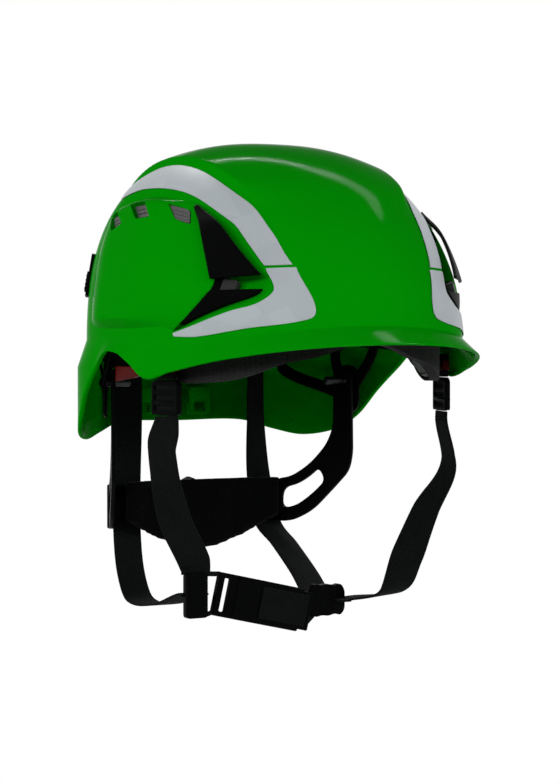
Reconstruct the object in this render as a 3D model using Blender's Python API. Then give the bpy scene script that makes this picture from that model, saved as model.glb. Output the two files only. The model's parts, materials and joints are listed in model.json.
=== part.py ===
"""Safety helmet for tree work: vented shell, strap suspension, ratchet cradle and chin strap.

Metres, +Z up, the wearer looks along -Y and the wearer's right is -X.
The origin is the middle of the head opening, level with the lowest points of the temples.
"""

import math

import bmesh
import bpy
import numpy as np
from mathutils import Matrix, Vector

# Dome of the shell
DOME_HALF_WIDTH = 0.102
DOME_FRONT_REACH = 0.117
DOME_REAR_REACH = 0.130
DOME_CROWN_Z = 0.137
DOME_SHOULDER_Z = 0.012
DOME_CROWN_SHIFT = 0.016
DOME_FRONT_ROUND = 2.05
DOME_REAR_ROUND = 2.42
DOME_SIDE_CURVE = (2.5, 2.68)
DOME_FRONT_CURVE = (1.67, 2.22)
DOME_REAR_CURVE = (2.8, 2.4)
SHELL_WALL = 0.003
SHELL_SEGMENTS = 60
SHELL_ROWS = 11

# Height of the rim and of the crease above it, by angle round from the front in degrees
RIM_HEIGHTS = (
    (0, 0.020), (24, 0.018), (48, 0.012), (66, 0.005), (77, 0.000), (85, 0.0085), (94, 0.0145),
    (101, 0.006), (116, -0.016), (128, -0.034), (137, -0.0395), (148, -0.036), (160, -0.030),
    (180, -0.030),
)
CREASE_HEIGHTS = (
    (0, 0.029), (20, 0.0275), (40, 0.024), (60, 0.019), (77, 0.016), (94, 0.0235),
    (116, -0.004), (137, -0.027), (160, -0.018), (180, -0.018),
)
BRIM_REACH = 0.0115
BRIM_ROUND = 1.5
RIM_FLARE = 0.003
RIM_FLARE_CURVE = 1.2

# Side pod with its vents: outline as (Y, Z) in the side view
POD_FRONT_EDGE = ((-0.036, 0.098), (-0.052, 0.076), (-0.063, 0.054), (-0.055, 0.036), (-0.044, 0.026))
POD_REAR_EDGE = ((0.062, 0.098), (0.066, 0.076), (0.066, 0.054), (0.064, 0.036), (0.062, 0.026))
POD_LIFT = 0.0055
POD_EDGE_LIFT = 0.001
POD_TAPER = 0.15
VENT_CENTRES = ((0.029, 0.090), (0.001, 0.0945), (-0.030, 0.0915))
VENT_LENGTH = 0.013
VENT_HEIGHT = 0.008
VENT_CUT_DEPTH = 0.018

# Reflective film, outer and inner edge as (Y, Z) in the side view
FILM_THICKNESS = 0.0003
FILM_GAP = 0.00045
FILM_UPPER_OUTER = ((0.062, 0.1120), (0.025, 0.1215), (-0.016, 0.1175), (-0.057, 0.0980),
                    (-0.0915, 0.0620))
FILM_UPPER_INNER = ((0.058, 0.1045), (0.020, 0.1083), (-0.024, 0.1037), (-0.059, 0.0865),
                    (-0.0835, 0.0615))
FILM_LOWER_OUTER = ((-0.0930, 0.0605), (-0.1035, 0.0415), (-0.1045, 0.0325), (-0.085, 0.0275),
                    (-0.062, 0.0232), (-0.047, 0.0232))
FILM_LOWER_INNER = ((-0.0845, 0.0600), (-0.0910, 0.0480), (-0.0870, 0.0410), (-0.0770, 0.0370),
                    (-0.058, 0.0290), (-0.046, 0.0250))

# Accessory socket in front of the pod
SOCKET_FRONT_EDGE = ((-0.0375, 0.0955), (-0.055, 0.0835), (-0.072, 0.067), (-0.0855, 0.050),
                     (-0.071, 0.040), (-0.060, 0.0345))
SOCKET_POD_SHARES = (0.06, 0.8)
SOCKET_POD_GAP = 0.0012
SOCKET_SEAT_GAP = 0.0004
SOCKET_BASE = 0.0014
SOCKET_BLADE_LOW = 0.0034
SOCKET_BLADE_HIGH = 0.0056
SOCKET_BLADE_FOOT_Z = 0.054
SOCKET_RIB_WIDTH = 0.006
SOCKET_SEAT_PLACE = (-0.073, 0.0475)
SOCKET_SEAT_HALF = (0.004, 0.003)
SOCKET_SEAT_LIFT = 0.0026

# Lamp clip on each rear quarter
LAMP_CLIP_PLACE = (0.080, 0.059)
LAMP_CLIP_WIDTH = 0.014
LAMP_CLIP_HEIGHT = 0.026
LAMP_CLIP_THICKNESS = 0.0028

# Inner pieces keep this much from the curved inner wall
WALL_GAP = 0.0008
SEAT_GAP = 0.0003

# Headband round the brow, brow pad on it
BAND_HALF_WIDTH = 0.089
BAND_FRONT_REACH = 0.100
BAND_REAR_REACH = 0.400
BAND_THICKNESS = 0.0016
BAND_HEIGHT = 0.022
BAND_BOTTOM_Z = ((0, 0.011), (35, 0.009), (68, 0.001), (90, 0.010), (110, 0.012))
BAND_END_HEIGHT = 0.012
BAND_END_Y = 0.050
BAND_TAPER_START = 0.6
BROW_PAD_THICKNESS = 0.006
BROW_PAD_END_TURN = 81
BROW_PAD_OVERHANG = 0.002
BROW_PAD_TIP_START = 0.9
BROW_PAD_TIP_CUT = 0.004

# Side hangers and the pivot of the cradle arms
PIVOT_X = 0.084
PIVOT_Y = 0.061
PIVOT_Z = -0.004
HUB_TURN = 30
HANGER_THICKNESS = 0.0022
HANGER_BRANCH_THICKNESS = 0.0018
HANGER_HUB_RADIUS = 0.011
HANGER_ARM_WIDTH = 0.010
HANGER_KNEE_OUT = 0.0008
HANGER_ROOT_SHARE = 0.6
HANGER_SEAT_GAP = 0.0009
HANGER_ENDS = ((105, 0.024), (121, 0.018), (143, 0.012))
KEY_RADIUS = 0.004
KEY_LENGTH = 0.0022
PIN_RADIUS = 0.0025
PIN_CLEARANCE = 0.0004
PIN_OUTER_REACH = 0.0035
PIN_INNER_REACH = 0.0155

# Crown straps
CROWN_STRAP_WIDTH = 0.018
CROWN_STRAP_THICKNESS = 0.0012
CROWN_STRAP_DEPTH = 0.012
CROWN_STRAP_SAG = ((0.30, 0.55), (0.65, 0.85))
CROWN_LAYER_GAP = 0.0009
CROWN_PAD_RADIUS = 0.030
CROWN_PAD_THICKNESS = 0.008
CROWN_PAD_PROFILE = ((0.0, 0.55), (0.375, 0.9), (0.625, 1.0), (0.875, 0.92), (1.0, 0.6))
CROWN_PAD_DROP = 0.0026
CROWN_KEY_TURNS = (("front", 0, 0.040), ("rear", 180, 0.016), ("right", -90, 0.042), ("left", 90, 0.042))

# Cradle arms with their racks, ratchet and nape pad
ARM_THICKNESS = 0.0024
ARM_BAR_WIDTH = 0.0065
ARM_POST_WIDTH = 0.0135
ARM_HEEL_RADIUS = 0.0074
ARM_HEEL_THICKNESS = 0.0030
ARM_SETBACK = 0.0045
ARM_POST_BOTTOM_Z = -0.052
ARM_BAR_RISES = (0.011, 0.004)
ARM_BAR_SAGS = (0.005, -0.018)
ARM_BAR_END_RISES = (0.011, -0.0095)
ARM_BAR_STEP = (0.008, -0.010)
ARM_BAR_BEND = 0.55
YOKE_X = 0.060
YOKE_WIDTH = 0.009
YOKE_RISE = 0.0145
YOKE_DROP = 0.013
YOKE_LEAD = 0.006
RACK_Y = 0.1042
RATCHET_Z = -0.082
PINION_TEETH = 12
PINION_MODULE = 0.0009
PINION_WIDTH = 0.0030
TOOTH_ADDENDUM = 0.0007
TOOTH_DEDENDUM = 0.00095
TOOTH_BACKLASH = 0.0002
TOOTH_PRESSURE_ANGLE = 25
RACK_HEIGHT = 0.006
RACK_OVERLAP = 0.020
RACK_TOOTH_SPAN = 0.026
HOUSING_HALF_WIDTH = 0.035
HOUSING_HALF_HEIGHT = 0.0155
HOUSING_WALL = 0.0022
HOUSING_CLEARANCE = 0.0004
COVER_THICKNESS = 0.0012
SHAFT_RADIUS = 0.003
KNOB_RADIUS = 0.0165
KNOB_DEPTH = 0.012
KNOB_SCALLOPS = 12
KNOB_SCALLOP_DEPTH = 0.0012
KNOB_PROFILE = ((0.0, 0.94), (0.15, 1.0), (0.85, 1.0), (1.0, 0.92))
NAPE_PAD_HALF_WIDTH = 0.053
NAPE_PAD_TOP_Z = -0.067
NAPE_PAD_BOTTOM_Z = -0.110
NAPE_PAD_END_BOTTOM_Z = -0.098
NAPE_PAD_THICKNESS = 0.005
NAPE_PAD_BOW = 0.006

# Webbing and its fittings
WEB_WIDTH = 0.019
WEB_THICKNESS = 0.0014
ANCHOR_FRONT_TURN = 73
ANCHOR_FRONT_Z = 0.010
ANCHOR_LENGTH = 0.016
ANCHOR_THICKNESS = 0.004
ANCHOR_HALF_WIDTH = 0.008
ANCHOR_HEAD = 0.003
ADJUSTER_LENGTH = 0.014
ADJUSTER_MARGIN = 0.0015
REAR_STRAP_X = 0.047
REAR_ANCHOR_Z = 0.004
REAR_ANCHOR_STANDOFF = 0.0065
REAR_ANCHOR_MARGIN = 0.001
REAR_STRAP_DROP_Z = -0.030
REAR_STRAP_Y = 0.1082
REAR_STRAP_FOOT_Z = -0.104
STRAP_LEAD = 0.006
STRAP_END_GAP = 0.0007
DIVIDER_RIGHT_X = (0.039, 0.053)
DIVIDER_LEFT_X = (0.036, 0.050)
DIVIDER_Y = 0.019
DIVIDER_RIGHT_Z = -0.1285
DIVIDER_LEFT_Z = -0.1365
DIVIDER_HEIGHT = 0.027
DIVIDER_DEPTH = 0.006
FRONT_STRAP_ACROSS_RIGHT = ((-0.3, -1, 0), (-1, -0.35, -0.1), (-1, 0, 0))
FRONT_STRAP_ACROSS_LEFT = ((0.3, -0.8, 0.1), (0.75, -0.6, 0.25), (0.75, -0.5, 0.45), (0, 0, 1))
FRONT_STRAP_MIDDLE_RIGHT = ((-0.090, -0.024, -0.040), (-0.071, -0.002, -0.080))
FRONT_STRAP_MIDDLE_LEFT = ((0.0945, -0.0365, -0.0545), (0.082, -0.030, -0.080), (0.0735, -0.0225, -0.107),
                           (0.066, -0.012, -0.1275))
REAR_STRAP_LOOP_RIGHT = ((-0.047, 0.103, -0.122), (-0.047, 0.090, -0.138), (-0.047, 0.055, -0.137))
REAR_STRAP_LOOP_LEFT = ((0.057, 0.098, -0.107), (0.051, 0.060, -0.1245))
REAR_STRAP_FOOT_X = {-1: 0.047, 1: 0.057}

# Side release buckle, lying along its own U, V, W axes
BUCKLE_CENTRE = (0.001, 0.019, -0.136)
BUCKLE_TILT = 13
BUCKLE_HALF_LENGTH = 0.023
BUCKLE_HALF_HEIGHT = 0.013
BUCKLE_HALF_DEPTH = 0.0048
CAVITY_START_U = -0.008
CAVITY_HALF_HEIGHT = 0.010
CAVITY_HALF_DEPTH = 0.0028
WINDOW_START_U = 0.001
LADDER_LENGTH = 0.012
LADDER_HALF_DEPTH = 0.0026
LADDER_SLOT = 0.0045
MALE_BASE_LENGTH = 0.007
MALE_BASE_HALF_HEIGHT = 0.0115
MALE_HALF_DEPTH = 0.004
TONGUE_HALF_HEIGHT = 0.0022
PRONG_INNER_V = 0.0054
PRONG_OUTER_V = 0.0126
PRONG_START_U = 0.004
FIT_CLEARANCE = 0.0004
TAIL_OVERHANG = 0.003

# Share of a curve's length over which a strap's direction is taken
RIBBON_STEP = 0.01

SIDES = ((-1, "right"), (1, "left"))
UP = Vector((0.0, 0.0, 1.0))


# Materials and solids

def finish(name, colour, roughness, metallic=0.0):
    """Return a new Principled material."""
    material = bpy.data.materials.new(name)
    material.use_nodes = True
    shader = material.node_tree.nodes["Principled BSDF"]
    shader.inputs["Base Color"].default_value = (*colour, 1.0)
    shader.inputs["Roughness"].default_value = roughness
    shader.inputs["Metallic"].default_value = metallic
    return material


FINISHES = {
    "green": ((0.0, 0.22, 0.003), 0.3, 0.0),
    "film": ((0.42, 0.45, 0.46), 0.35, 0.0),
    "black": ((0.012, 0.012, 0.013), 0.45, 0.0),
    "grey": ((0.14, 0.14, 0.15), 0.8, 0.0),
    "web": ((0.015, 0.016, 0.016), 0.85, 0.0),
    "red": ((0.45, 0.015, 0.01), 0.4, 0.0),
    "steel": ((0.55, 0.55, 0.56), 0.3, 1.0),
}


def solid(name, points, faces, colour):
    """Make one closed object from points and faces, with its faces pointing out."""
    shape = bmesh.new()
    corners = [shape.verts.new(point) for point in points]
    for face in faces:
        shape.faces.new([corners[index] for index in face])
    bmesh.ops.recalc_face_normals(shape, faces=shape.faces)
    mesh = bpy.data.meshes.new(name)
    shape.to_mesh(mesh)
    shape.free()
    return placed(name, mesh, colour)


def placed(name, mesh, colour):
    """Link a mesh as a named object with its own material."""
    piece = bpy.data.objects.new(name, mesh)
    mesh.materials.append(finish(name, *FINISHES[colour]))
    bpy.context.collection.objects.link(piece)
    return piece


def combine(piece, tools, operation):
    """Join or cut a piece with other solids, which are then removed."""
    for tool in tools:
        step = piece.modifiers.new(operation, "BOOLEAN")
        step.operation = operation
        step.object = tool
        graph = bpy.context.evaluated_depsgraph_get()
        mesh = bpy.data.meshes.new_from_object(piece.evaluated_get(graph))
        piece.modifiers.clear()
        piece.data = mesh
        bpy.data.objects.remove(tool)
    return piece


def pivoted(piece, point):
    """Move a piece's origin to a point on its joint axis, leaving the piece where it is."""
    piece.data.transform(Matrix.Translation(-Vector(point)))
    piece.location = point
    return piece


def loft(name, rings, colour):
    """Make a solid through rings of equally many points, closed at both ends."""
    count = len(rings[0])
    points = [point for ring in rings for point in ring]
    faces = [tuple(range(count)), tuple(range(len(points) - count, len(points)))]
    for row in range(len(rings) - 1):
        for index in range(count):
            after = (index + 1) % count
            start = row * count
            faces.append((start + index, start + after, start + count + after, start + count + index))
    return solid(name, points, faces, colour)


def plate(name, low, high, colour):
    """Make a solid between two equal grids of points, joined along their border."""
    rows, columns = len(low), len(low[0])
    points = [point for grid in (low, high) for row in grid for point in row]
    layer = rows * columns
    faces = []
    for row in range(rows - 1):
        for column in range(columns - 1):
            corner = row * columns + column
            quad = (corner, corner + 1, corner + columns + 1, corner + columns)
            faces.append(quad)
            faces.append(tuple(index + layer for index in quad))
    border = list(range(columns))
    border += [row * columns + columns - 1 for row in range(1, rows)]
    border += [(rows - 1) * columns + column for column in range(columns - 2, -1, -1)]
    border += [row * columns for row in range(rows - 2, 0, -1)]
    for first, second in zip(border, border[1:] + border[:1]):
        faces.append((first, second, second + layer, first + layer))
    return solid(name, points, faces, colour)


def block(name, low, high, colour, frame=Matrix()):
    """Make a box between two corners of a frame."""
    rings = []
    for x in (low[0], high[0]):
        ring = ((low[1], low[2]), (high[1], low[2]), (high[1], high[2]), (low[1], high[2]))
        rings.append([frame @ Vector((x, y, z)) for y, z in ring])
    return loft(name, rings, colour)


def turned(name, start, end, profile, colour, segments=20):
    """Make a round solid along an axis from (distance, radius) pairs."""
    axis = (Vector(end) - Vector(start)).normalized()
    across = axis.orthogonal().normalized()
    beside = axis.cross(across)
    rings = []
    for distance, radius in profile:
        middle = Vector(start) + axis * distance
        angles = [2 * math.pi * step / segments for step in range(segments)]
        rings.append([middle + radius * (math.cos(a) * across + math.sin(a) * beside) for a in angles])
    return loft(name, rings, colour)


def rod(name, start, end, radius, colour, segments=20):
    """Make a plain round bar between two points."""
    length = (Vector(end) - Vector(start)).length
    return turned(name, start, end, ((0.0, radius), (length, radius)), colour, segments)


# Curves

def through(knots, share):
    """Return the point at a share of the way along a smooth curve through knots."""
    knots = [np.asarray(knot, float) for knot in knots]
    spans = [np.linalg.norm(after - before) for before, after in zip(knots, knots[1:])]
    places = np.concatenate(([0.0], np.cumsum(spans)))
    slopes = []
    for index in range(len(knots)):
        before, after = max(index - 1, 0), min(index + 1, len(knots) - 1)
        slopes.append((knots[after] - knots[before]) / (places[after] - places[before]))
    where = share * places[-1]
    index = min(int(np.searchsorted(places, where, side="right")) - 1, len(spans) - 1)
    span = spans[index]
    t = (where - places[index]) / span
    value = (2 * t**3 - 3 * t**2 + 1) * knots[index] + (t**3 - 2 * t**2 + t) * span * slopes[index]
    return value + (3 * t**2 - 2 * t**3) * knots[index + 1] + (t**3 - t**2) * span * slopes[index + 1]


def height_at(table, turn):
    """Return a height from (degrees, height) pairs by a smooth curve, alike on both sides."""
    degrees = abs((math.degrees(turn) + 180) % 360 - 180)
    angles = [row[0] for row in table]
    heights = [row[1] for row in table]
    last = len(table) - 1
    index = min(int(np.searchsorted(angles, degrees, side="right")) - 1, last - 1)

    def slope(at):
        if at in (0, last):
            return 0.0
        return (heights[at + 1] - heights[at - 1]) / (angles[at + 1] - angles[at - 1])

    span = angles[index + 1] - angles[index]
    t = (degrees - angles[index]) / span
    value = (2 * t**3 - 3 * t**2 + 1) * heights[index] + (t**3 - 2 * t**2 + t) * span * slope(index)
    return value + (3 * t**2 - 2 * t**3) * heights[index + 1] + (t**3 - t**2) * span * slope(index + 1)


def smooth(value):
    """Return a smooth step from 0 to 1."""
    value = min(max(value, 0.0), 1.0)
    return value * value * (3 - 2 * value)


def turning(directions, share):
    """Return a direction that passes evenly from the first of a list to the last."""
    where = share * (len(directions) - 1)
    index = min(int(where), max(len(directions) - 2, 0))
    after = min(index + 1, len(directions) - 1)
    return Vector(directions[index]).lerp(Vector(directions[after]), where - index)


def flat_ring(middle, wide, thick):
    """Return the four corners of a strap's section."""
    return [middle + wide + thick, middle - wide + thick, middle - wide - thick, middle + wide - thick]


def ribbon(name, knots, across, width, thickness, colour, steps=24):
    """Make a flat strap along a smooth curve, with a width direction that turns along it."""
    rings = []
    for step in range(steps + 1):
        share = step / steps
        middle = Vector(through(knots, share))
        before, after = max(share - RIBBON_STEP, 0.0), min(share + RIBBON_STEP, 1.0)
        ahead = Vector(through(knots, after) - through(knots, before)).normalized()
        wide = turning(across, share)
        wide = (wide - ahead * wide.dot(ahead)).normalized() * (width / 2)
        thick = ahead.cross(wide).normalized() * (thickness / 2)
        rings.append(flat_ring(middle, wide, thick))
    return loft(name, rings, colour)


# Dome

def dome_ring(z):
    """Return the dome's half width, front reach, rear reach and shift at a height."""
    zeta = min(max((z - DOME_SHOULDER_Z) / (DOME_CROWN_Z - DOME_SHOULDER_Z), 0.0), 1.0)

    def shrink(curve):
        return (1 - zeta ** curve[0]) ** (1 / curve[1])

    side = DOME_HALF_WIDTH * shrink(DOME_SIDE_CURVE)
    front = DOME_FRONT_REACH * shrink(DOME_FRONT_CURVE)
    rear = DOME_REAR_REACH * shrink(DOME_REAR_CURVE)
    return side, front, rear, DOME_CROWN_SHIFT * zeta**2


def dome_level(x, y, z):
    """Return 1 on the dome, less inside it and more outside."""
    side, front, rear, shift = dome_ring(z)
    power = DOME_FRONT_ROUND if y < shift else DOME_REAR_ROUND
    reach = front if y < shift else rear
    return (abs(x) / side) ** power + (abs(y - shift) / reach) ** power


def dome_normal(point):
    """Return the dome's outward direction at a point on it."""
    step = 0.0002
    if point[2] > DOME_CROWN_Z - 10 * step:
        return UP.copy()
    slope = Vector()
    for axis in range(3):
        ahead, behind = list(point), list(point)
        ahead[axis] += step
        behind[axis] -= step
        slope[axis] = dome_level(*ahead) - dome_level(*behind)
    return slope.normalized()


def dome_turn(turn, z):
    """Return the dome's point at an angle round from the front and a height."""
    side, front, rear, shift = dome_ring(z)
    sine, cosine = math.sin(turn), math.cos(turn)
    power = 2 / (DOME_FRONT_ROUND if cosine > 0 else DOME_REAR_ROUND)
    reach = -front if cosine > 0 else rear
    x = math.copysign(side * abs(sine) ** power, sine)
    return Vector((x, shift + reach * abs(cosine) ** power, z))


def dome_side(y, z, side):
    """Return the dome's point at a place of the side view."""
    half, front, rear, shift = dome_ring(z)
    power = DOME_FRONT_ROUND if y < shift else DOME_REAR_ROUND
    reach = front if y < shift else rear
    return Vector((side * half * (1 - (abs(y - shift) / reach) ** power) ** (1 / power), y, z))


def lifted(point, lift):
    """Move a point of the dome out along the dome's normal."""
    return point + dome_normal(point) * lift


def inside(turn, z, depth):
    """Return a point a depth below the shell's inner face, with the turn in degrees."""
    return lifted(dome_turn(math.radians(turn), z), -SHELL_WALL - depth)


def skin(name, front_edge, rear_edge, side, low, high, colour, columns=8, rows=12):
    """Make a plate over the dome between two edges of the side view.

    The lifts low and high are numbers or functions of the shares across and along.
    """
    grids = []
    for lift in (low, high):
        grid = []
        for row in range(rows + 1):
            along = row / rows
            first, last = through(front_edge, along), through(rear_edge, along)
            line = []
            for column in range(columns + 1):
                across = column / columns
                y, z = first + (last - first) * across
                amount = lift(across, along) if callable(lift) else lift
                line.append(lifted(dome_side(y, z, side), amount))
            grid.append(line)
        grids.append(grid)
    return plate(name, grids[0], grids[1], colour)


# Shell and what is on it

def shell_rows(turn):
    """Return the outer points of the shell at an angle, from the rim up to below the crown."""
    rim = height_at(RIM_HEIGHTS, turn)
    crease = height_at(CREASE_HEIGHTS, turn)
    front = max(math.cos(turn), 0.0) ** BRIM_ROUND
    flare = RIM_FLARE * smooth(2 + 2 * math.cos(turn)) + BRIM_REACH * front
    points = []
    for share in (0.0, 0.5):
        z = rim + (crease - rim) * share
        base = dome_turn(turn, z)
        out = dome_normal(Vector((base.x, base.y, 0.0)))
        points.append(base + out * flare * (1 - share) ** RIM_FLARE_CURVE)
    for row in range(SHELL_ROWS):
        share = math.sin(row / SHELL_ROWS * math.pi / 2)
        points.append(dome_turn(turn, crease + (DOME_CROWN_Z - crease) * share))
    return points


def shell():
    """Make the shell with its pods and vents."""
    turns = [2 * math.pi * step / SHELL_SEGMENTS for step in range(SHELL_SEGMENTS)]
    outer = [shell_rows(turn) for turn in turns]
    count = len(outer[0])
    points = []
    for column in outer:
        points += column
    for column in outer:
        points += [point - dome_normal(point) * SHELL_WALL for point in column]
    crown = Vector((0.0, DOME_CROWN_SHIFT, DOME_CROWN_Z))
    points += [crown, crown - UP * SHELL_WALL]
    layer = SHELL_SEGMENTS * count
    faces = []
    for segment in range(SHELL_SEGMENTS):
        here, there = segment * count, (segment + 1) % SHELL_SEGMENTS * count
        for base in (0, layer):
            for row in range(count - 1):
                low, next_low = base + here + row, base + there + row
                faces.append((low, next_low, next_low + 1, low + 1))
        faces.append((here + count - 1, there + count - 1, 2 * layer))
        faces.append((layer + here + count - 1, layer + there + count - 1, 2 * layer + 1))
        faces.append((here, there, layer + there, layer + here))
    body = solid("shell", points, faces, "green")
    for side, _ in SIDES:
        combine(body, [pod(side)], "UNION")
        combine(body, [vent_cutter(side, centre) for centre in VENT_CENTRES], "DIFFERENCE")
    return body


def pod(side):
    """Make the raised pod, sunk half into the wall that it is joined to."""

    def lift(across, along):
        rear = smooth((1 - across) / (2 * POD_TAPER))
        ends = smooth(along / POD_TAPER) * smooth((1 - along) / POD_TAPER)
        return POD_EDGE_LIFT + (POD_LIFT - POD_EDGE_LIFT) * rear * ends

    return skin("pod", POD_FRONT_EDGE, POD_REAR_EDGE, side, -SHELL_WALL / 2, lift, "green", 10, 10)


def dome_frame(place, side):
    """Return a frame on the dome at a place of the side view: along Y, up the dome, and out of it."""
    middle = dome_side(*place, side)
    out = dome_normal(middle)
    along = (Vector((0.0, 1.0, 0.0)) - out * out.y).normalized()
    frame = Matrix((along, out.cross(along), out)).transposed().to_4x4()
    frame.translation = middle
    return frame


def vent_cutter(side, centre):
    """Make the cutter of one vent, square to the dome."""
    frame = dome_frame(centre, side)
    half = Vector((VENT_LENGTH / 2, VENT_HEIGHT / 2, VENT_CUT_DEPTH / 2))
    return block("vent", -half, half, "green", frame)


def films(side, word):
    """Make the two reflective films of a side."""
    lift = (FILM_GAP, FILM_GAP + FILM_THICKNESS)
    skin(f"reflective_strip_upper_{word}", FILM_UPPER_OUTER, FILM_UPPER_INNER, side, *lift, "film", 2, 18)
    skin(f"reflective_strip_lower_{word}", FILM_LOWER_OUTER, FILM_LOWER_INNER, side, *lift, "film", 2, 18)


def accessory_socket(side, word):
    """Make the socket: a base on the dome, and a blade that stands off it on a rib along the pod."""
    first, last = SOCKET_POD_SHARES
    shares = [first + (last - first) * step / 8 for step in range(9)]
    rear = [through(POD_FRONT_EDGE, share) - np.array((SOCKET_POD_GAP, 0.0)) for share in shares]
    base = skin(f"accessory_socket_{word}", SOCKET_FRONT_EDGE, rear, side,
                SOCKET_SEAT_GAP, SOCKET_BASE, "black", 4, 12)
    blade_front = [edge for edge in SOCKET_FRONT_EDGE if edge[1] >= SOCKET_BLADE_FOOT_Z]
    blade_rear = [edge for edge in rear if edge[1] >= SOCKET_BLADE_FOOT_Z]
    blade = skin("blade", blade_front, blade_rear, side, SOCKET_BLADE_LOW, SOCKET_BLADE_HIGH, "black", 4, 7)
    rib_front = [edge - np.array((SOCKET_RIB_WIDTH, 0.0)) for edge in blade_rear[1:]]
    rib_rear = [edge - np.array((SOCKET_SEAT_GAP, 0.0)) for edge in blade_rear[1:]]
    rib = skin("rib", rib_front, rib_rear, side, SOCKET_BASE / 2, SOCKET_BLADE_HIGH - SEAT_GAP, "black", 2, 5)
    wide, tall = SOCKET_SEAT_HALF
    seat = block("seat", (-wide, -tall, (SOCKET_SEAT_GAP + SOCKET_BASE) / 2), (wide, tall, SOCKET_SEAT_LIFT),
                 "black", dome_frame(SOCKET_SEAT_PLACE, side))
    return combine(base, [blade, rib, seat], "UNION")


def vent_screen(side, word):
    """Make the screen behind the vents of a side."""
    ahead = min(centre[0] for centre in VENT_CENTRES) - VENT_LENGTH
    behind = max(centre[0] for centre in VENT_CENTRES) + VENT_LENGTH
    low = min(centre[1] for centre in VENT_CENTRES) - VENT_HEIGHT
    high = max(centre[1] for centre in VENT_CENTRES) + VENT_HEIGHT
    top = SHELL_WALL + WALL_GAP
    skin(f"vent_screen_{word}", ((ahead, low), (ahead, high)), ((behind, low), (behind, high)), side,
         -top - SOCKET_BASE, -top, "black", 8, 2)


def lamp_clip(side, word):
    """Make the flat clip that holds a lamp strap on the rear quarter."""
    half_wide, half_tall = LAMP_CLIP_WIDTH / 2, LAMP_CLIP_HEIGHT / 2
    block(f"lamp_clip_{word}", (-half_wide, -half_tall, SOCKET_SEAT_GAP),
          (half_wide, half_tall, SOCKET_SEAT_GAP + LAMP_CLIP_THICKNESS), "black",
          dome_frame(LAMP_CLIP_PLACE, side))


# Suspension

def band_point(turn, inset):
    """Return the plan of the headband's outer face, moved in by an inset."""
    sine, cosine = math.sin(turn), math.cos(turn)
    reach = BAND_FRONT_REACH if cosine > 0 else BAND_REAR_REACH
    return (BAND_HALF_WIDTH - inset) * sine, -(reach - inset) * cosine


def band_strip(name, end, low_high, inset, thickness, colour, steps):
    """Make a strip along the headband's plan from end to end, with heights by angle."""
    low, high = [], []
    for step in range(-steps, steps + 1):
        turn = end * step / steps
        bottom, top = low_high(turn)
        inner, outer = band_point(turn, inset + thickness), band_point(turn, inset)
        low.append([(*inner, bottom), (*inner, (bottom + top) / 2), (*inner, top)])
        high.append([(*outer, bottom), (*outer, (bottom + top) / 2), (*outer, top)])
    return plate(name, low, high, colour)


def headband():
    """Make the headband and the brow pad inside it."""
    end = math.pi / 2 + math.asin(BAND_END_Y / BAND_REAR_REACH)

    def band_heights(turn):
        bottom = height_at(BAND_BOTTOM_Z, turn)
        taper = smooth((abs(turn) / end - BAND_TAPER_START) / (1 - BAND_TAPER_START))
        return bottom, bottom + BAND_HEIGHT + (BAND_END_HEIGHT - BAND_HEIGHT) * taper

    band_strip("headband_front", end, band_heights, 0.0, BAND_THICKNESS, "black", 18)
    pad_end = math.radians(BROW_PAD_END_TURN)

    def pad_heights(turn):
        bottom, top = band_heights(turn)
        tip = smooth((abs(turn) / pad_end - BROW_PAD_TIP_START) / (1 - BROW_PAD_TIP_START))
        margin = BROW_PAD_OVERHANG - (BROW_PAD_OVERHANG + BROW_PAD_TIP_CUT) * tip
        return bottom - margin, top + margin

    inset = BAND_THICKNESS + SEAT_GAP
    band_strip("brow_pad", pad_end, pad_heights, inset, BROW_PAD_THICKNESS, "grey", 13)


def hub_axes(side):
    """Return the hub's outward direction and the direction along it to the rear."""
    turn = math.radians(HUB_TURN)
    out = Vector((side * math.cos(turn), math.sin(turn), 0.0))
    return out, Vector((-side * math.sin(turn), math.cos(turn), 0.0))


def side_hanger(side, word):
    """Make a three-branched hanger with its keys and the pivot pin."""
    hub_out, _ = hub_axes(side)
    middle = Vector((side * PIVOT_X, PIVOT_Y, PIVOT_Z))
    half = hub_out * (HANGER_THICKNESS / 2)
    hanger = rod(f"side_hanger_{word}", middle - half, middle + half, HANGER_HUB_RADIUS, "black", 24)
    branches = []
    for place, (turn, z) in zip(("front", "middle", "rear"), HANGER_ENDS):
        seat = WALL_GAP + KEY_LENGTH + HANGER_SEAT_GAP + HANGER_BRANCH_THICKNESS / 2
        end = inside(side * turn, z + KEY_RADIUS, seat)
        low_end = inside(side * turn, z - HANGER_ARM_WIDTH, seat)
        out = dome_normal(dome_turn(math.radians(side * turn), z))
        aim = low_end - middle
        aim = (aim - hub_out * aim.dot(hub_out)).normalized()
        start = middle + aim * HANGER_HUB_RADIUS * HANGER_ROOT_SHARE
        knee = start.lerp(low_end, 0.5)
        knee -= hub_out * ((knee - middle).dot(hub_out) - HANGER_KNEE_OUT)
        across = [hub_out.cross(aim), out.cross(UP)]
        knots = (start, knee, low_end, end)
        size = (HANGER_ARM_WIDTH, HANGER_BRANCH_THICKNESS)
        branches.append(ribbon("branch", knots, across, *size, "black", 8))
        inner = inside(side * turn, z, WALL_GAP + KEY_LENGTH)
        outer = inside(side * turn, z, WALL_GAP)
        rod(f"hanger_key_{place}_{word}", inner, outer, KEY_RADIUS, "black", 12)
    combine(hanger, branches, "UNION")
    reach = Vector((2 * HANGER_HUB_RADIUS, 0, 0))
    bore = rod("bore", middle - reach, middle + reach, PIN_RADIUS + PIN_CLEARANCE, "black")
    combine(hanger, [bore], "DIFFERENCE")
    far = middle - Vector((side * PIN_INNER_REACH, 0, 0))
    near = middle + Vector((side * PIN_OUTER_REACH, 0, 0))
    rod(f"pivot_pin_{word}", near, far, PIN_RADIUS, "steel")


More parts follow.
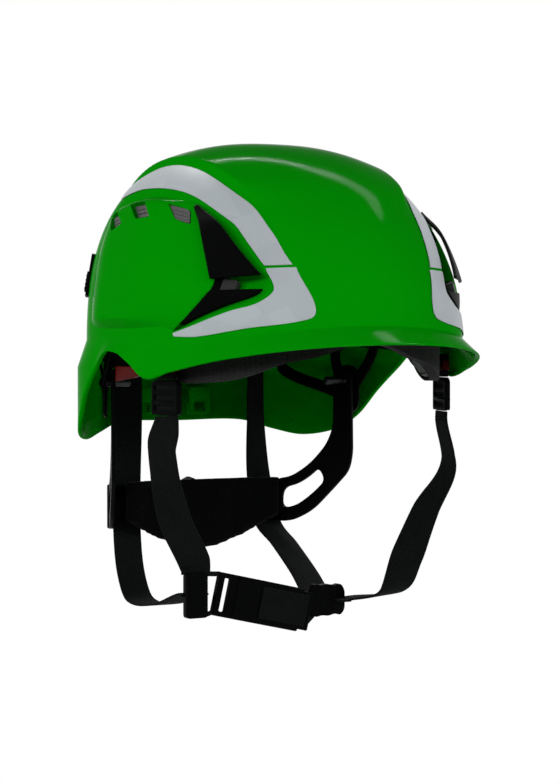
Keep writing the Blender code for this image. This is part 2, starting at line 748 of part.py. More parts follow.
def crown_straps():
    """Make the two crown straps, their keys and the crown pad."""
    ends = {name: (turn, z) for name, turn, z in CROWN_KEY_TURNS}
    for name, (turn, z) in ends.items():
        inner = inside(turn, z, WALL_GAP + KEY_LENGTH)
        outer = inside(turn, z, WALL_GAP)
        rod(f"crown_key_{name}", inner, outer, KEY_RADIUS, "black", 12)
    half = CROWN_STRAP_THICKNESS / 2
    for name, first, last, across, layer in (
        ("crown_strap_long", "front", "rear", Vector((1, 0, 0)), 0.0),
        ("crown_strap_cross", "right", "left", Vector((0, 1, 0)), CROWN_STRAP_THICKNESS + CROWN_LAYER_GAP),
    ):
        seat = WALL_GAP + KEY_LENGTH + SEAT_GAP + half
        top = Vector((0.0, DOME_CROWN_SHIFT, DOME_CROWN_Z - SHELL_WALL - CROWN_STRAP_DEPTH - layer - half))
        knots = []
        for key in (first, last):
            turn, z = ends[key]
            legs = [inside(turn, z - KEY_RADIUS, seat)]
            for rise, sag in CROWN_STRAP_SAG:
                legs.append(inside(turn, z + rise * (DOME_CROWN_Z - z), seat + CROWN_STRAP_DEPTH * sag))
            knots.append(legs)
        route = knots[0] + [top] + knots[1][::-1]
        ribbon(name, route, [across], CROWN_STRAP_WIDTH, CROWN_STRAP_THICKNESS, "web", 24)
    straps = 2 * CROWN_STRAP_THICKNESS + CROWN_LAYER_GAP
    roof = DOME_CROWN_Z - SHELL_WALL - CROWN_STRAP_DEPTH - straps - CROWN_PAD_DROP
    centre = Vector((0.0, DOME_CROWN_SHIFT, roof))
    profile = [(CROWN_PAD_THICKNESS * deep, CROWN_PAD_RADIUS * wide) for deep, wide in CROWN_PAD_PROFILE]
    turned("crown_pad", centre, centre - UP, profile, "grey", 20)


# Cradle and ratchet

def pitch_radius():
    """Return the pinion's pitch radius."""
    return PINION_MODULE * PINION_TEETH / 2


def pinion_outline():
    """Return the pinion's outline as (across, up) points, with involute flanks."""
    pitch = pitch_radius()
    pressure = math.radians(TOOTH_PRESSURE_ANGLE)
    base = pitch * math.cos(pressure)
    half = math.pi / (2 * PINION_TEETH) - TOOTH_BACKLASH / pitch
    at_pitch = math.tan(pressure) - pressure
    radii = [pitch - TOOTH_DEDENDUM, base, (base + pitch + TOOTH_ADDENDUM) / 2, pitch + TOOTH_ADDENDUM]
    outline = []
    for tooth in range(PINION_TEETH):
        middle = 2 * math.pi * tooth / PINION_TEETH
        flank = []
        for radius in radii:
            angle = math.acos(min(base / max(radius, base), 1.0))
            flank.append((radius, half + at_pitch - (math.tan(angle) - angle)))
        for radius, turn in flank:
            outline.append((radius * math.cos(middle - turn), radius * math.sin(middle - turn)))
        for radius, turn in reversed(flank):
            outline.append((radius * math.cos(middle + turn), radius * math.sin(middle + turn)))
    return outline


def rack(side):
    """Make a rack that runs in from its arm past the pinion, with teeth facing it."""
    pitch = pitch_radius()
    spacing = math.pi * PINION_MODULE
    lean = math.tan(math.radians(TOOTH_PRESSURE_ANGLE))
    upward = 1 if side < 0 else -1
    root = pitch + TOOTH_DEDENDUM
    tip = pitch - TOOTH_ADDENDUM
    half = spacing / 4 - TOOTH_BACKLASH
    edge = [(side * YOKE_X, root)]
    teeth = int(RACK_TOOTH_SPAN / spacing)
    offset = 0.0 if PINION_TEETH % 4 == 2 else spacing / 2
    for tooth in range(teeth, -teeth, -1):
        middle = side * (tooth * spacing) - side * offset
        if abs(middle) > RACK_OVERLAP - spacing and middle * side < 0:
            continue
        wide, narrow = half + (root - pitch) * lean, half - (pitch - tip) * lean
        for reach, height in ((wide, root), (narrow, tip), (-narrow, tip), (-wide, root)):
            edge.append((middle + side * reach, height))
    edge.append((-side * RACK_OVERLAP, root))
    edge += [(-side * RACK_OVERLAP, root + RACK_HEIGHT), (side * YOKE_X, root + RACK_HEIGHT)]
    rings = []
    for y in (RACK_Y - ARM_THICKNESS / 2, RACK_Y + ARM_THICKNESS / 2):
        rings.append([Vector((x, y, RATCHET_Z + upward * z)) for x, z in edge])
    return loft("rack", rings, "black")


def cradle_arm(side, word):
    """Make an arm: post under the pivot, two bars with a slot between them, yoke and rack."""
    out, along = hub_axes(side)
    pivot = Vector((side * PIVOT_X, PIVOT_Y, PIVOT_Z)) - out * ARM_SETBACK
    top = pivot + UP * HANGER_HUB_RADIUS
    foot = Vector((pivot.x, pivot.y, ARM_POST_BOTTOM_Z))
    arm = ribbon(f"cradle_arm_{word}", (top, foot), [along], ARM_POST_WIDTH, ARM_THICKNESS, "black", 4)
    back = ARM_POST_WIDTH / 2 - ARM_BAR_WIDTH / 2
    bars = []
    for setback, rise, sag, end_rise in zip((back, -back), ARM_BAR_RISES, ARM_BAR_SAGS, ARM_BAR_END_RISES):
        start = foot + along * setback + UP * rise
        end = Vector((side * YOKE_X, RACK_Y, RATCHET_Z + end_rise))
        step = along * ARM_BAR_STEP[0] + UP * (ARM_BAR_STEP[1] + sag / 2)
        bend = start.lerp(end, ARM_BAR_BEND)
        bend.z = (start.z + 2 * end.z) / 3 + sag / 2
        bars.append(ribbon("bar", (start, start + step, bend, end - along * YOKE_LEAD, end), [UP],
                           ARM_BAR_WIDTH, ARM_THICKNESS, "black", 10))
    half = out * (ARM_HEEL_THICKNESS / 2)
    heel = rod("heel", foot - half, foot + half, ARM_HEEL_RADIUS, "black", 24)
    near, far = sorted((side * YOKE_X, side * (YOKE_X - YOKE_WIDTH)))
    low = Vector((near, RACK_Y - ARM_THICKNESS / 2, RATCHET_Z - YOKE_DROP))
    high = Vector((far, RACK_Y + ARM_THICKNESS / 2, RATCHET_Z + YOKE_RISE))
    yoke = block("yoke", low, high, "black")
    combine(arm, [heel] + bars + [yoke, rack(side)], "UNION")
    reach = Vector((4 * ARM_THICKNESS, 0, 0))
    pivot = Vector((pivot.x, PIVOT_Y, PIVOT_Z))
    bore = rod("bore", pivot - reach, pivot + reach, PIN_RADIUS + PIN_CLEARANCE, "black")
    combine(arm, [bore], "DIFFERENCE")
    return pivoted(arm, pivot)


def housing_depth():
    """Return the Y of the housing's open front, of its cavity's back and of its rear face."""
    half = max(ARM_THICKNESS, PINION_WIDTH) / 2 + HOUSING_CLEARANCE
    return RACK_Y - half, RACK_Y + half, RACK_Y + half + HOUSING_WALL


def ratchet():
    """Make the ratchet: housing, cover, screws, knob on its shaft and the pinion."""
    front, inner, rear = housing_depth()
    wide, tall = HOUSING_HALF_WIDTH, HOUSING_HALF_HEIGHT
    housing = block("ratchet_housing", (-wide, front, RATCHET_Z - tall),
                    (wide, rear, RATCHET_Z + tall), "black")
    room = pitch_radius() + TOOTH_DEDENDUM + RACK_HEIGHT + HOUSING_CLEARANCE
    cavity = block("cavity", (-2 * wide, front - wide, RATCHET_Z - room),
                   (2 * wide, inner, RATCHET_Z + room), "black")
    axle = Vector((0, 0, RATCHET_Z))
    along = Vector((0, 1, 0))
    bore = rod("bore", axle + along * front, axle + along * (rear + wide),
               SHAFT_RADIUS + HOUSING_CLEARANCE, "black", 24)
    combine(housing, [cavity, bore], "DIFFERENCE")
    cover_rear = front - SEAT_GAP
    cover = block("ratchet_cover", (-wide, cover_rear - COVER_THICKNESS, RATCHET_Z - tall),
                  (wide, cover_rear, RATCHET_Z + tall), "black")
    for place, sign in (("upper", 1), ("lower", -1)):
        centre = Vector((0, 0, RATCHET_Z + sign * (room + tall) / 2))
        start = centre + along * (cover_rear - 2 * COVER_THICKNESS)
        end = centre + along * inner
        radius = (tall - room) / 2 - HOUSING_CLEARANCE
        for piece in (cover, housing):
            hole = rod("hole", start, end, radius + HOUSING_CLEARANCE / 2, "black", 12)
            combine(piece, [hole], "DIFFERENCE")
        rod(f"cover_screw_{place}", centre + along * (cover_rear - COVER_THICKNESS), end - along * SEAT_GAP,
            radius, "steel", 12)
    pinion_rings = []
    for y in (RACK_Y - PINION_WIDTH / 2, RACK_Y + PINION_WIDTH / 2):
        pinion_rings.append([Vector((x, y, RATCHET_Z + z)) for x, z in pinion_outline()])
    pinion = loft("ratchet_pinion", pinion_rings, "black")
    pivoted(pinion, (0, RACK_Y, RATCHET_Z))
    knob_front = rear + HOUSING_CLEARANCE
    rings = []
    for share, scale in KNOB_PROFILE:
        ring = []
        for step in range(3 * KNOB_SCALLOPS):
            angle = 2 * math.pi * step / (3 * KNOB_SCALLOPS)
            dip = KNOB_SCALLOP_DEPTH * (1 - math.cos(angle * KNOB_SCALLOPS)) / 2
            radius = KNOB_RADIUS * scale - dip
            across, up = radius * math.cos(angle), radius * math.sin(angle)
            ring.append(Vector((across, knob_front + KNOB_DEPTH * share, RATCHET_Z + up)))
        rings.append(ring)
    knob = loft("ratchet_knob", rings, "black")
    shaft_end = RACK_Y + PINION_WIDTH / 2 + SEAT_GAP
    shaft = rod("shaft", axle + along * shaft_end, axle + along * (knob_front + KNOB_DEPTH / 2),
                SHAFT_RADIUS, "black", 24)
    combine(knob, [shaft], "UNION")
    pivoted(knob, (0, knob_front, RATCHET_Z))


def nape_pad():
    """Make the pad in front of the ratchet, bowed to the head, with a curved lower edge."""
    rear = housing_depth()[0] - SEAT_GAP - COVER_THICKNESS - SEAT_GAP
    low, high = [], []
    steps = 9
    for step in range(-steps, steps + 1):
        share = step / steps
        x = NAPE_PAD_HALF_WIDTH * share
        bow = NAPE_PAD_BOW * smooth(2 * (abs(x) - HOUSING_HALF_WIDTH) / NAPE_PAD_HALF_WIDTH)
        bottom = NAPE_PAD_BOTTOM_Z + (NAPE_PAD_END_BOTTOM_Z - NAPE_PAD_BOTTOM_Z) * share**2
        line = [NAPE_PAD_TOP_Z + (bottom - NAPE_PAD_TOP_Z) * row / 4 for row in range(5)]
        low.append([(x, rear - bow - NAPE_PAD_THICKNESS, z) for z in line])
        high.append([(x, rear - bow, z) for z in line])
    plate("nape_pad", low, high, "black")


# Chin strap

def front_fittings(side, word):
    """Make the front anchor on the temple, the adjuster under it, and return where the strap starts."""
    turn = side * ANCHOR_FRONT_TURN
    out = dome_normal(dome_turn(math.radians(turn), ANCHOR_FRONT_Z))
    along = out.cross(UP).normalized()
    frame = Matrix((along, out, UP)).transposed().to_4x4()
    frame.translation = inside(turn, ANCHOR_FRONT_Z, WALL_GAP)
    half = WEB_WIDTH / 2 + ADJUSTER_MARGIN
    block(f"strap_anchor_front_{word}", (-ANCHOR_HALF_WIDTH, -ANCHOR_THICKNESS, -ANCHOR_LENGTH),
          (ANCHOR_HALF_WIDTH, 0.0, ANCHOR_HEAD), "red", frame)
    top = -ANCHOR_LENGTH - SEAT_GAP
    block(f"strap_adjuster_{word}", (-half, -ANCHOR_THICKNESS, top - ADJUSTER_LENGTH),
          (half, 0.0, top), "black", frame)
    start = frame @ Vector((0, -ANCHOR_THICKNESS / 2, top - ADJUSTER_LENGTH - STRAP_END_GAP))
    return start, along


def divider_place(side):
    """Return a divider's range of half widths and its middle height."""
    if side < 0:
        return DIVIDER_RIGHT_X, DIVIDER_RIGHT_Z
    return DIVIDER_LEFT_X, DIVIDER_LEFT_Z


def chin_straps(side, word):
    """Make the anchors, the front and rear straps and the divider of one side."""
    start, along = front_fittings(side, word)
    toward_front = -along if along.y > 0 else along
    (inner, outer), divider_z = divider_place(side)
    low_x, high_x = min(side * inner, side * outer), max(side * inner, side * outer)
    half_depth, half_height = DIVIDER_DEPTH / 2, DIVIDER_HEIGHT / 2
    block(f"strap_divider_{word}", (low_x, DIVIDER_Y - half_depth, divider_z - half_height),
          (high_x, DIVIDER_Y + half_depth, divider_z + half_height), "black")
    middle_x = side * (inner + outer) / 2
    top_z = divider_z + half_height
    if side < 0:
        knots = [start, start - UP * STRAP_LEAD, *[Vector(knot) for knot in FRONT_STRAP_MIDDLE_RIGHT]]
        knots.append(Vector((middle_x, DIVIDER_Y, top_z + STRAP_END_GAP + STRAP_LEAD)))
        knots.append(Vector((middle_x, DIVIDER_Y, top_z + STRAP_END_GAP)))
        across = [toward_front, *FRONT_STRAP_ACROSS_RIGHT]
        loop = REAR_STRAP_LOOP_RIGHT
    else:
        knots = [start, start - UP * STRAP_LEAD, *[Vector(knot) for knot in FRONT_STRAP_MIDDLE_LEFT]]
        knots.append(Vector((side * outer + STRAP_END_GAP + STRAP_LEAD, DIVIDER_Y, divider_z)))
        knots.append(Vector((side * outer + STRAP_END_GAP, DIVIDER_Y, divider_z)))
        across = [toward_front, *FRONT_STRAP_ACROSS_LEFT]
        loop = REAR_STRAP_LOOP_LEFT
    ribbon(f"strap_front_{word}", knots, across, WEB_WIDTH, WEB_THICKNESS, "web", 20)
    rear_turn = rear_turn_at(REAR_STRAP_X)
    wall = inside(side * rear_turn, REAR_ANCHOR_Z, WALL_GAP)
    half = WEB_WIDTH / 2 + REAR_ANCHOR_MARGIN
    face = wall.y - REAR_ANCHOR_STANDOFF
    block(f"strap_anchor_rear_{word}", (wall.x - half, face - ANCHOR_THICKNESS, REAR_ANCHOR_Z),
          (wall.x + half, face, REAR_ANCHOR_Z + ANCHOR_LENGTH), "black")
    pin_z = REAR_ANCHOR_Z + 2 * KEY_RADIUS
    pin_end = inside(side * rear_turn_at(REAR_STRAP_X + KEY_RADIUS), REAR_ANCHOR_Z, WALL_GAP).y
    rod(f"strap_anchor_pin_{word}", (wall.x, face + SEAT_GAP, pin_z), (wall.x, pin_end, pin_z),
        KEY_RADIUS, "black", 12)
    strap_y = face - ANCHOR_THICKNESS / 2
    route = [Vector((wall.x, strap_y, z)) for z in (REAR_ANCHOR_Z - SEAT_GAP, REAR_STRAP_DROP_Z)]
    route += [Vector((side * REAR_STRAP_X, REAR_STRAP_Y, NAPE_PAD_TOP_Z)),
              Vector((side * REAR_STRAP_FOOT_X[side], REAR_STRAP_Y, REAR_STRAP_FOOT_Z))]
    route += [Vector(knot) for knot in loop]
    divider_rear = DIVIDER_Y + half_depth + STRAP_END_GAP
    route.append(Vector((middle_x, divider_rear + STRAP_LEAD, divider_z)))
    route.append(Vector((middle_x, divider_rear, divider_z)))
    ribbon(f"strap_rear_{word}", route, [Vector((1, 0, 0))], WEB_WIDTH, WEB_THICKNESS, "web", 30)


def rear_turn_at(x):
    """Return the angle in degrees at which the upright rear wall has a half width of x."""
    sine = (x / DOME_HALF_WIDTH) ** (DOME_REAR_ROUND / 2)
    return 180 - math.degrees(math.asin(sine))


def buckle_frame():
    """Return the buckle's frame: U along the strap, V across it, W to the front."""
    tilt = math.radians(BUCKLE_TILT)
    along = Vector((math.cos(tilt), 0, -math.sin(tilt)))
    across = Vector((math.sin(tilt), 0, math.cos(tilt)))
    frame = Matrix((along, across, along.cross(across))).transposed().to_4x4()
    frame.translation = BUCKLE_CENTRE
    return frame


def buckle():
    """Make the buckle halves, the release prongs and the webbing between the dividers."""
    frame = buckle_frame()
    end, tall, deep = BUCKLE_HALF_LENGTH, BUCKLE_HALF_HEIGHT, BUCKLE_HALF_DEPTH
    female = block("buckle_female", (-end, -tall, -deep), (end, tall, deep), "black", frame)
    ladder = block("ladder", (-end - LADDER_LENGTH, -tall, -LADDER_HALF_DEPTH),
                   (-end + LADDER_LENGTH / 4, tall, LADDER_HALF_DEPTH), "black", frame)
    combine(female, [ladder], "UNION")
    slot_end = -end - LADDER_LENGTH / 2 + LADDER_SLOT / 2
    cuts = [
        block("slot", (slot_end - LADDER_SLOT, -CAVITY_HALF_HEIGHT, -deep),
              (slot_end, CAVITY_HALF_HEIGHT, deep), "black", frame),
        block("cavity", (CAVITY_START_U, -CAVITY_HALF_HEIGHT, -CAVITY_HALF_DEPTH),
              (2 * end, CAVITY_HALF_HEIGHT, CAVITY_HALF_DEPTH), "black", frame),
        block("window", (WINDOW_START_U, -2 * tall, -CAVITY_HALF_DEPTH),
              (2 * end, 2 * tall, CAVITY_HALF_DEPTH), "black", frame),
    ]
    combine(female, cuts, "DIFFERENCE")
    base_start = end + FIT_CLEARANCE
    base_end = base_start + MALE_BASE_LENGTH
    male = block("buckle_male", (base_start, -MALE_BASE_HALF_HEIGHT, -MALE_HALF_DEPTH),
                 (base_end, MALE_BASE_HALF_HEIGHT, MALE_HALF_DEPTH), "black", frame)
    depth = CAVITY_HALF_DEPTH - FIT_CLEARANCE
    tongue = block("tongue", (CAVITY_START_U + FIT_CLEARANCE, -TONGUE_HALF_HEIGHT, -depth),
                   (base_start + MALE_BASE_LENGTH / 2, TONGUE_HALF_HEIGHT, depth), "black", frame)
    combine(male, [tongue], "UNION")
    pivoted(male, frame @ Vector((base_start, 0, 0)))
    for word, sign in (("upper", 1), ("lower", -1)):
        sides = sorted((sign * PRONG_INNER_V, sign * PRONG_OUTER_V))
        prong = block(f"release_prong_{word}", (PRONG_START_U, sides[0], -depth),
                      (base_start - SEAT_GAP, sides[1], depth), "black", frame)
        pivoted(prong, frame @ Vector((base_start, sign * PRONG_OUTER_V, 0)))
    webbing_tail(frame)
    across = frame.to_3x3() @ Vector((0, 1, 0))
    (inner, _), divider_z = divider_place(-1)
    ladder_end = frame @ Vector((-end - LADDER_LENGTH - SEAT_GAP, 0, 0))
    divider_end = Vector((-inner + SEAT_GAP, DIVIDER_Y, divider_z))
    chin_web("chin_web_right", ((divider_end, UP), (ladder_end, across)))
    (inner, _), divider_z = divider_place(1)
    male_end = frame @ Vector((base_end + SEAT_GAP, 0, 0))
    divider_end = Vector((inner - SEAT_GAP, DIVIDER_Y, divider_z))
    chin_web("chin_web_left", ((male_end, across), (divider_end, UP)))


def chin_web(name, ends):
    """Make a short web between two (point, width direction) ends."""
    thick = Vector((0, WEB_THICKNESS / 2, 0))
    rings = []
    for middle, across in ends:
        wide = across * (WEB_WIDTH / 2)
        rings.append(flat_ring(middle, wide, thick))
    return loft(name, rings, "web")


def webbing_tail(frame):
    """Make the free end of the chin web, which lies over the front of the buckle."""
    out = BUCKLE_HALF_DEPTH + SEAT_GAP + WEB_THICKNESS / 2
    start = -BUCKLE_HALF_LENGTH - LADDER_LENGTH / 4
    knots = [frame @ Vector((u, 0, out)) for u in (start, 0.0, BUCKLE_HALF_LENGTH + TAIL_OVERHANG)]
    ribbon("chin_strap_tail", knots, [UP], WEB_WIDTH, WEB_THICKNESS, "web", 6)


def main():
    """Build every piece."""
    for old in list(bpy.data.objects):
        bpy.data.objects.remove(old)
    shell()
    headband()
    crown_straps()
    ratchet()
    nape_pad()
    buckle()
    for side, word in SIDES:
        films(side, word)
        accessory_socket(side, word)
        vent_screen(side, word)
        lamp_clip(side, word)
        side_hanger(side, word)
        cradle_arm(side, word)
        chin_straps(side, word)


main()
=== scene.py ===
"""Looks of a vented safety helmet for tree work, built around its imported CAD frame.

Metres, +Z up. The wearer looks along -Y, and the wearer's right is -X.
"""

import json
import logging
import math
from dataclasses import dataclass
from enum import Enum
from typing import Callable, Optional, Sequence

import bmesh
import bpy
import numpy as np
from mathutils import Matrix, Vector

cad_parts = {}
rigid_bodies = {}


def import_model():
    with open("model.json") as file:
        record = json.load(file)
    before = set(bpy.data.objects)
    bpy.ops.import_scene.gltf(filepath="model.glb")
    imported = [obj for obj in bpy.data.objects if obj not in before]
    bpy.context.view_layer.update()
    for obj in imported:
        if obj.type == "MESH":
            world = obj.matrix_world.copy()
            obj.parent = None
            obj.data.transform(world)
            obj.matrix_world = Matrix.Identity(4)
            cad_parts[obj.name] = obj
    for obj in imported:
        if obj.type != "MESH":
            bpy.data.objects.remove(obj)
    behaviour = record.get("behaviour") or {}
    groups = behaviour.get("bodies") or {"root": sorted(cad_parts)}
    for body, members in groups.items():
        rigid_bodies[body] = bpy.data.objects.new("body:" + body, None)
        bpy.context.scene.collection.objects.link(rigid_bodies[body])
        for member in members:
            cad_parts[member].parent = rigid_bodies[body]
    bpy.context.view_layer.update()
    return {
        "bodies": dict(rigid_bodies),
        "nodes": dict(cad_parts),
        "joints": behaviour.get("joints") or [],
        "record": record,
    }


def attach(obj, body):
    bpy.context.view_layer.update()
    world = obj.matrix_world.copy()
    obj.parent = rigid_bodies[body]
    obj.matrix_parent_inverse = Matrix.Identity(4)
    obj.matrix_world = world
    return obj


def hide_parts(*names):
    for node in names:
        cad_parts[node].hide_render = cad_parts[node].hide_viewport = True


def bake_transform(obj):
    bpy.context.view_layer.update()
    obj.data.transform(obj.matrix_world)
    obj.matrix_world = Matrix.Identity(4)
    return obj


LOG = logging.getLogger("helmet")

Array = np.ndarray
Piece = bpy.types.Object
Material = bpy.types.Material
Node = bpy.types.Node
Socket = bpy.types.NodeSocket
Tree = bpy.types.NodeTree
Knots = Sequence[Sequence[float]]
Lift = Callable[[Array, Array], Array]

UP = np.array((0.0, 0.0, 1.0))
BACK = np.array((0.0, 1.0, 0.0))

# Sizes that several sub-assemblies share
WEB_WIDTH = 0.019
WEB_THICKNESS = 0.0014
PIVOT = (0.084, 0.061, -0.004)
HUB_TURN = math.radians(30.0)


class Side(Enum):
    """A side of the wearer, with the sign of its X."""

    RIGHT = -1
    LEFT = 1

    @property
    def word(self) -> str:
        """The side's word in node names."""
        return self.name.lower()


class Body(Enum):
    """The CAD bodies that pieces ride on."""

    SHELL = "shell"
    KNOB = "knob"
    ARM_RIGHT = "arm_right"
    ARM_LEFT = "arm_left"
    BUCKLE_MALE = "buckle_male"
    PRONG_UPPER = "prong_upper"
    PRONG_LOWER = "prong_lower"


class Repeat(Enum):
    """What a row of repeated things is made of."""

    STITCH = "stitch"
    RIB = "rib"


# Finishes


def feed(tree: Tree, node: Node, inputs: dict) -> None:
    """Set a node's inputs to values, or link other sockets to them."""
    for key, value in inputs.items():
        if isinstance(value, Socket):
            tree.links.new(value, node.inputs[key])
        else:
            node.inputs[key].default_value = value


def add_node(tree: Tree, kind: str, inputs: Optional[dict] = None,
             **settings: object) -> Node:
    """Add a node to a tree.

    Args:
        tree: The tree of a material, a world or a modifier.
        kind: The node's type name.
        inputs: Values or sockets for its inputs, by name or index.
        settings: Properties of the node.

    Returns:
        The new node.
    """
    node = tree.nodes.new(kind)
    for key, value in settings.items():
        setattr(node, key, value)
    feed(tree, node, inputs or {})
    return node


class NodeBench:
    """One material's node tree, with short calls to add and join nodes."""

    def __init__(self, name: str) -> None:
        """Start a material that holds a Principled shader."""
        self.material = bpy.data.materials.new(name)
        self.material.use_nodes = True
        self.tree = self.material.node_tree
        self.shader = self.tree.nodes["Principled BSDF"]

    def node(self, kind: str, inputs: Optional[dict] = None, **settings: object) -> Node:
        """Add a node to the material, and return it."""
        return add_node(self.tree, kind, inputs, **settings)

    def coat(self, inputs: dict) -> None:
        """Set or link inputs of the shader by name."""
        feed(self.tree, self.shader, inputs)

    def maths(self, operation: str, *values: object) -> Socket:
        """Return the result of a Math node on values or sockets."""
        return self.node("ShaderNodeMath", dict(enumerate(values)), operation=operation).outputs[0]

    def place(self) -> Socket:
        """Return the piece's own coordinates."""
        return self.node("ShaderNodeTexCoord").outputs["Object"]

    def noise(self, scale: float, detail: float) -> Socket:
        """Return noise on the piece's own coordinates."""
        inputs = {"Vector": self.place(), "Scale": scale, "Detail": detail}
        return self.node("ShaderNodeTexNoise", inputs).outputs["Fac"]

    def cells(self, size: float, randomness: float = 1.0) -> Node:
        """Return the node of round cells of a size on the piece's own coordinates."""
        inputs = {"Vector": self.place(), "Scale": 1 / size, "Randomness": randomness}
        return self.node("ShaderNodeTexVoronoi", inputs)

    def gloss(self, factor: Socket, low: float, high: float) -> None:
        """Vary the shader's roughness between two values."""
        inputs = {"Value": factor, "To Min": low, "To Max": high}
        self.coat({"Roughness": self.node("ShaderNodeMapRange", inputs).outputs["Result"]})

    def shade(self, factor: Socket, colour: Sequence[float], dark: float, light: float) -> None:
        """Colour the shader between a dark and a light share of a colour."""
        tones = [(*(min(channel * share, 1.0) for channel in colour), 1.0) for share in (dark, light)]
        inputs = {"Factor": factor, 6: tones[0], 7: tones[1]}
        mix = self.node("ShaderNodeMix", inputs, data_type="RGBA")
        self.coat({"Base Color": mix.outputs[2]})

    def emboss(self, height: Socket, depth: float, strength: float = 1.0) -> None:
        """Bump the surface by a height that runs from 0 to 1 over a depth in metres."""
        inputs = {"Height": height, "Distance": depth, "Strength": strength}
        self.coat({"Normal": self.node("ShaderNodeBump", inputs).outputs["Normal"]})


@dataclass(frozen=True)
class Finish:
    """What every finish has: its name, its slot, its colour and its roughness."""

    name: str
    slot: str
    colour: tuple
    roughness: float

    def material(self) -> Material:
        """Build the material."""
        bench = NodeBench(self.name)
        self.lay(bench)
        return bench.material

    def lay(self, bench: NodeBench) -> None:
        """Lay the finish's own nodes."""
        raise NotImplementedError


@dataclass(frozen=True)
class MouldedPlastic(Finish):
    """Injection-moulded plastic: a faint orange peel, and gloss that varies a little."""

    grain: float = 700.0
    grain_depth: float = 0.00002
    mottle: float = 0.06
    specular: float = 0.5
    ior: float = 1.45

    def lay(self, bench: NodeBench) -> None:
        """Lay the finish's own nodes."""
        bench.shade(bench.noise(22.0, 3.0), self.colour, 1 - self.mottle, 1 + self.mottle)
        bench.gloss(bench.noise(60.0, 4.0), self.roughness - 0.04, self.roughness + 0.05)
        bench.coat({"Specular IOR Level": self.specular, "IOR": self.ior})
        bench.emboss(bench.noise(self.grain, 1.0), self.grain_depth)


@dataclass(frozen=True)
class ReflectiveFilm(Finish):
    """Silver reflective film: small prism cells under a clear face, in slightly uneven fields."""

    roughness: float = 0.45
    specular: float = 0.3
    cell: float = 0.0012
    field: float = 0.022
    cell_depth: float = 0.00003

    def lay(self, bench: NodeBench) -> None:
        """Lay the finish's own nodes."""
        prism = bench.cells(self.cell).outputs["Distance"]
        fields = bench.cells(self.field).outputs["Color"]
        tone = bench.node("ShaderNodeSeparateColor", {"Color": fields}).outputs["Red"]
        parts = bench.maths("MULTIPLY", tone, 0.7), bench.maths("MULTIPLY", prism, 0.3)
        bench.shade(bench.maths("ADD", *parts), self.colour, 0.93, 1.05)
        bench.coat({"Roughness": self.roughness, "Specular IOR Level": self.specular})
        bench.emboss(prism, self.cell_depth, 0.4)


@dataclass(frozen=True)
class Webbing(Finish):
    """Woven webbing: a herringbone of ribs that follows the strap."""

    roughness: float = 0.78
    sheen: float = 0.015
    rib: float = 0.0024
    rib_slope: float = 1.6
    thread: float = 0.0009
    depth: float = 0.00022

    def lay(self, bench: NodeBench) -> None:
        """Lay the weave on the UV map, whose unit is a metre: U across the strap and V along it."""
        place = bench.node("ShaderNodeUVMap", uv_map="weave").outputs["UV"]
        axes = bench.node("ShaderNodeSeparateXYZ", {0: place}).outputs
        aslant = bench.maths("MULTIPLY", bench.maths("ABSOLUTE", axes["X"]), self.rib_slope)
        slope = bench.maths("ADD", aslant, axes["Y"])
        wave = bench.maths("SINE", bench.maths("MULTIPLY", slope, 2 * math.pi / self.rib))
        fine = bench.maths("SINE", bench.maths("MULTIPLY", axes["X"], 2 * math.pi / self.thread))
        weave = bench.maths("ADD", bench.maths("MULTIPLY", wave, 0.32), bench.maths("MULTIPLY", fine, 0.18))
        height = bench.maths("ADD", weave, 0.5)
        # The colour is darker in the weave's low grooves, which is painted shade, plus a random tone from the
        # noise.
        groove_shade_and_tone = bench.maths("MULTIPLY_ADD", bench.noise(160.0, 4.0), 0.5, bench.maths("MULTIPLY", height, 0.6))
        bench.shade(groove_shade_and_tone, self.colour, 0.45, 1.5)
        bench.coat(cloth_gloss(self.roughness, self.sheen))
        bench.emboss(height, self.depth)


@dataclass(frozen=True)
class PadFabric(Finish):
    """Spacer fabric over foam: small round cells in a soft nap."""

    roughness: float = 0.85
    sheen: float = 0.03
    cell: float = 0.0022
    depth: float = 0.00025

    def lay(self, bench: NodeBench) -> None:
        """Lay the finish's own nodes."""
        cells = bench.cells(self.cell, 0.35).outputs["Distance"]
        dots = bench.node("ShaderNodeMapRange", {"Value": cells, "From Max": 0.6}).outputs["Result"]
        # The colour is darker in the cells' dips, which is painted shade, plus a random tone from the noise.
        dip_shade_and_nap = bench.maths("MULTIPLY_ADD", bench.noise(90.0, 4.0), 0.55, bench.maths("MULTIPLY", dots, 0.5))
        bench.shade(dip_shade_and_nap, self.colour, 0.6, 1.35)
        bench.coat(cloth_gloss(self.roughness, self.sheen))
        bench.emboss(dots, self.depth)


def cloth_gloss(roughness: float, sheen: float) -> dict:
    """Return the shader's inputs for a dull cloth with a little sheen."""
    return {"Roughness": roughness, "Sheen Weight": sheen, "Sheen Roughness": 0.5,
            "Specular IOR Level": 0.2, "IOR": 1.1}


@dataclass(frozen=True)
class Steel(Finish):
    """Plain drawn steel with fine scratches in its gloss."""

    colour: tuple = (0.55, 0.55, 0.56)
    roughness: float = 0.32

    def lay(self, bench: NodeBench) -> None:
        """Lay the finish's own nodes."""
        bench.shade(bench.noise(120.0, 5.0), self.colour, 0.85, 1.1)
        bench.gloss(bench.noise(500.0, 5.0), self.roughness - 0.08, self.roughness + 0.1)
        bench.coat({"Metallic": 1.0})


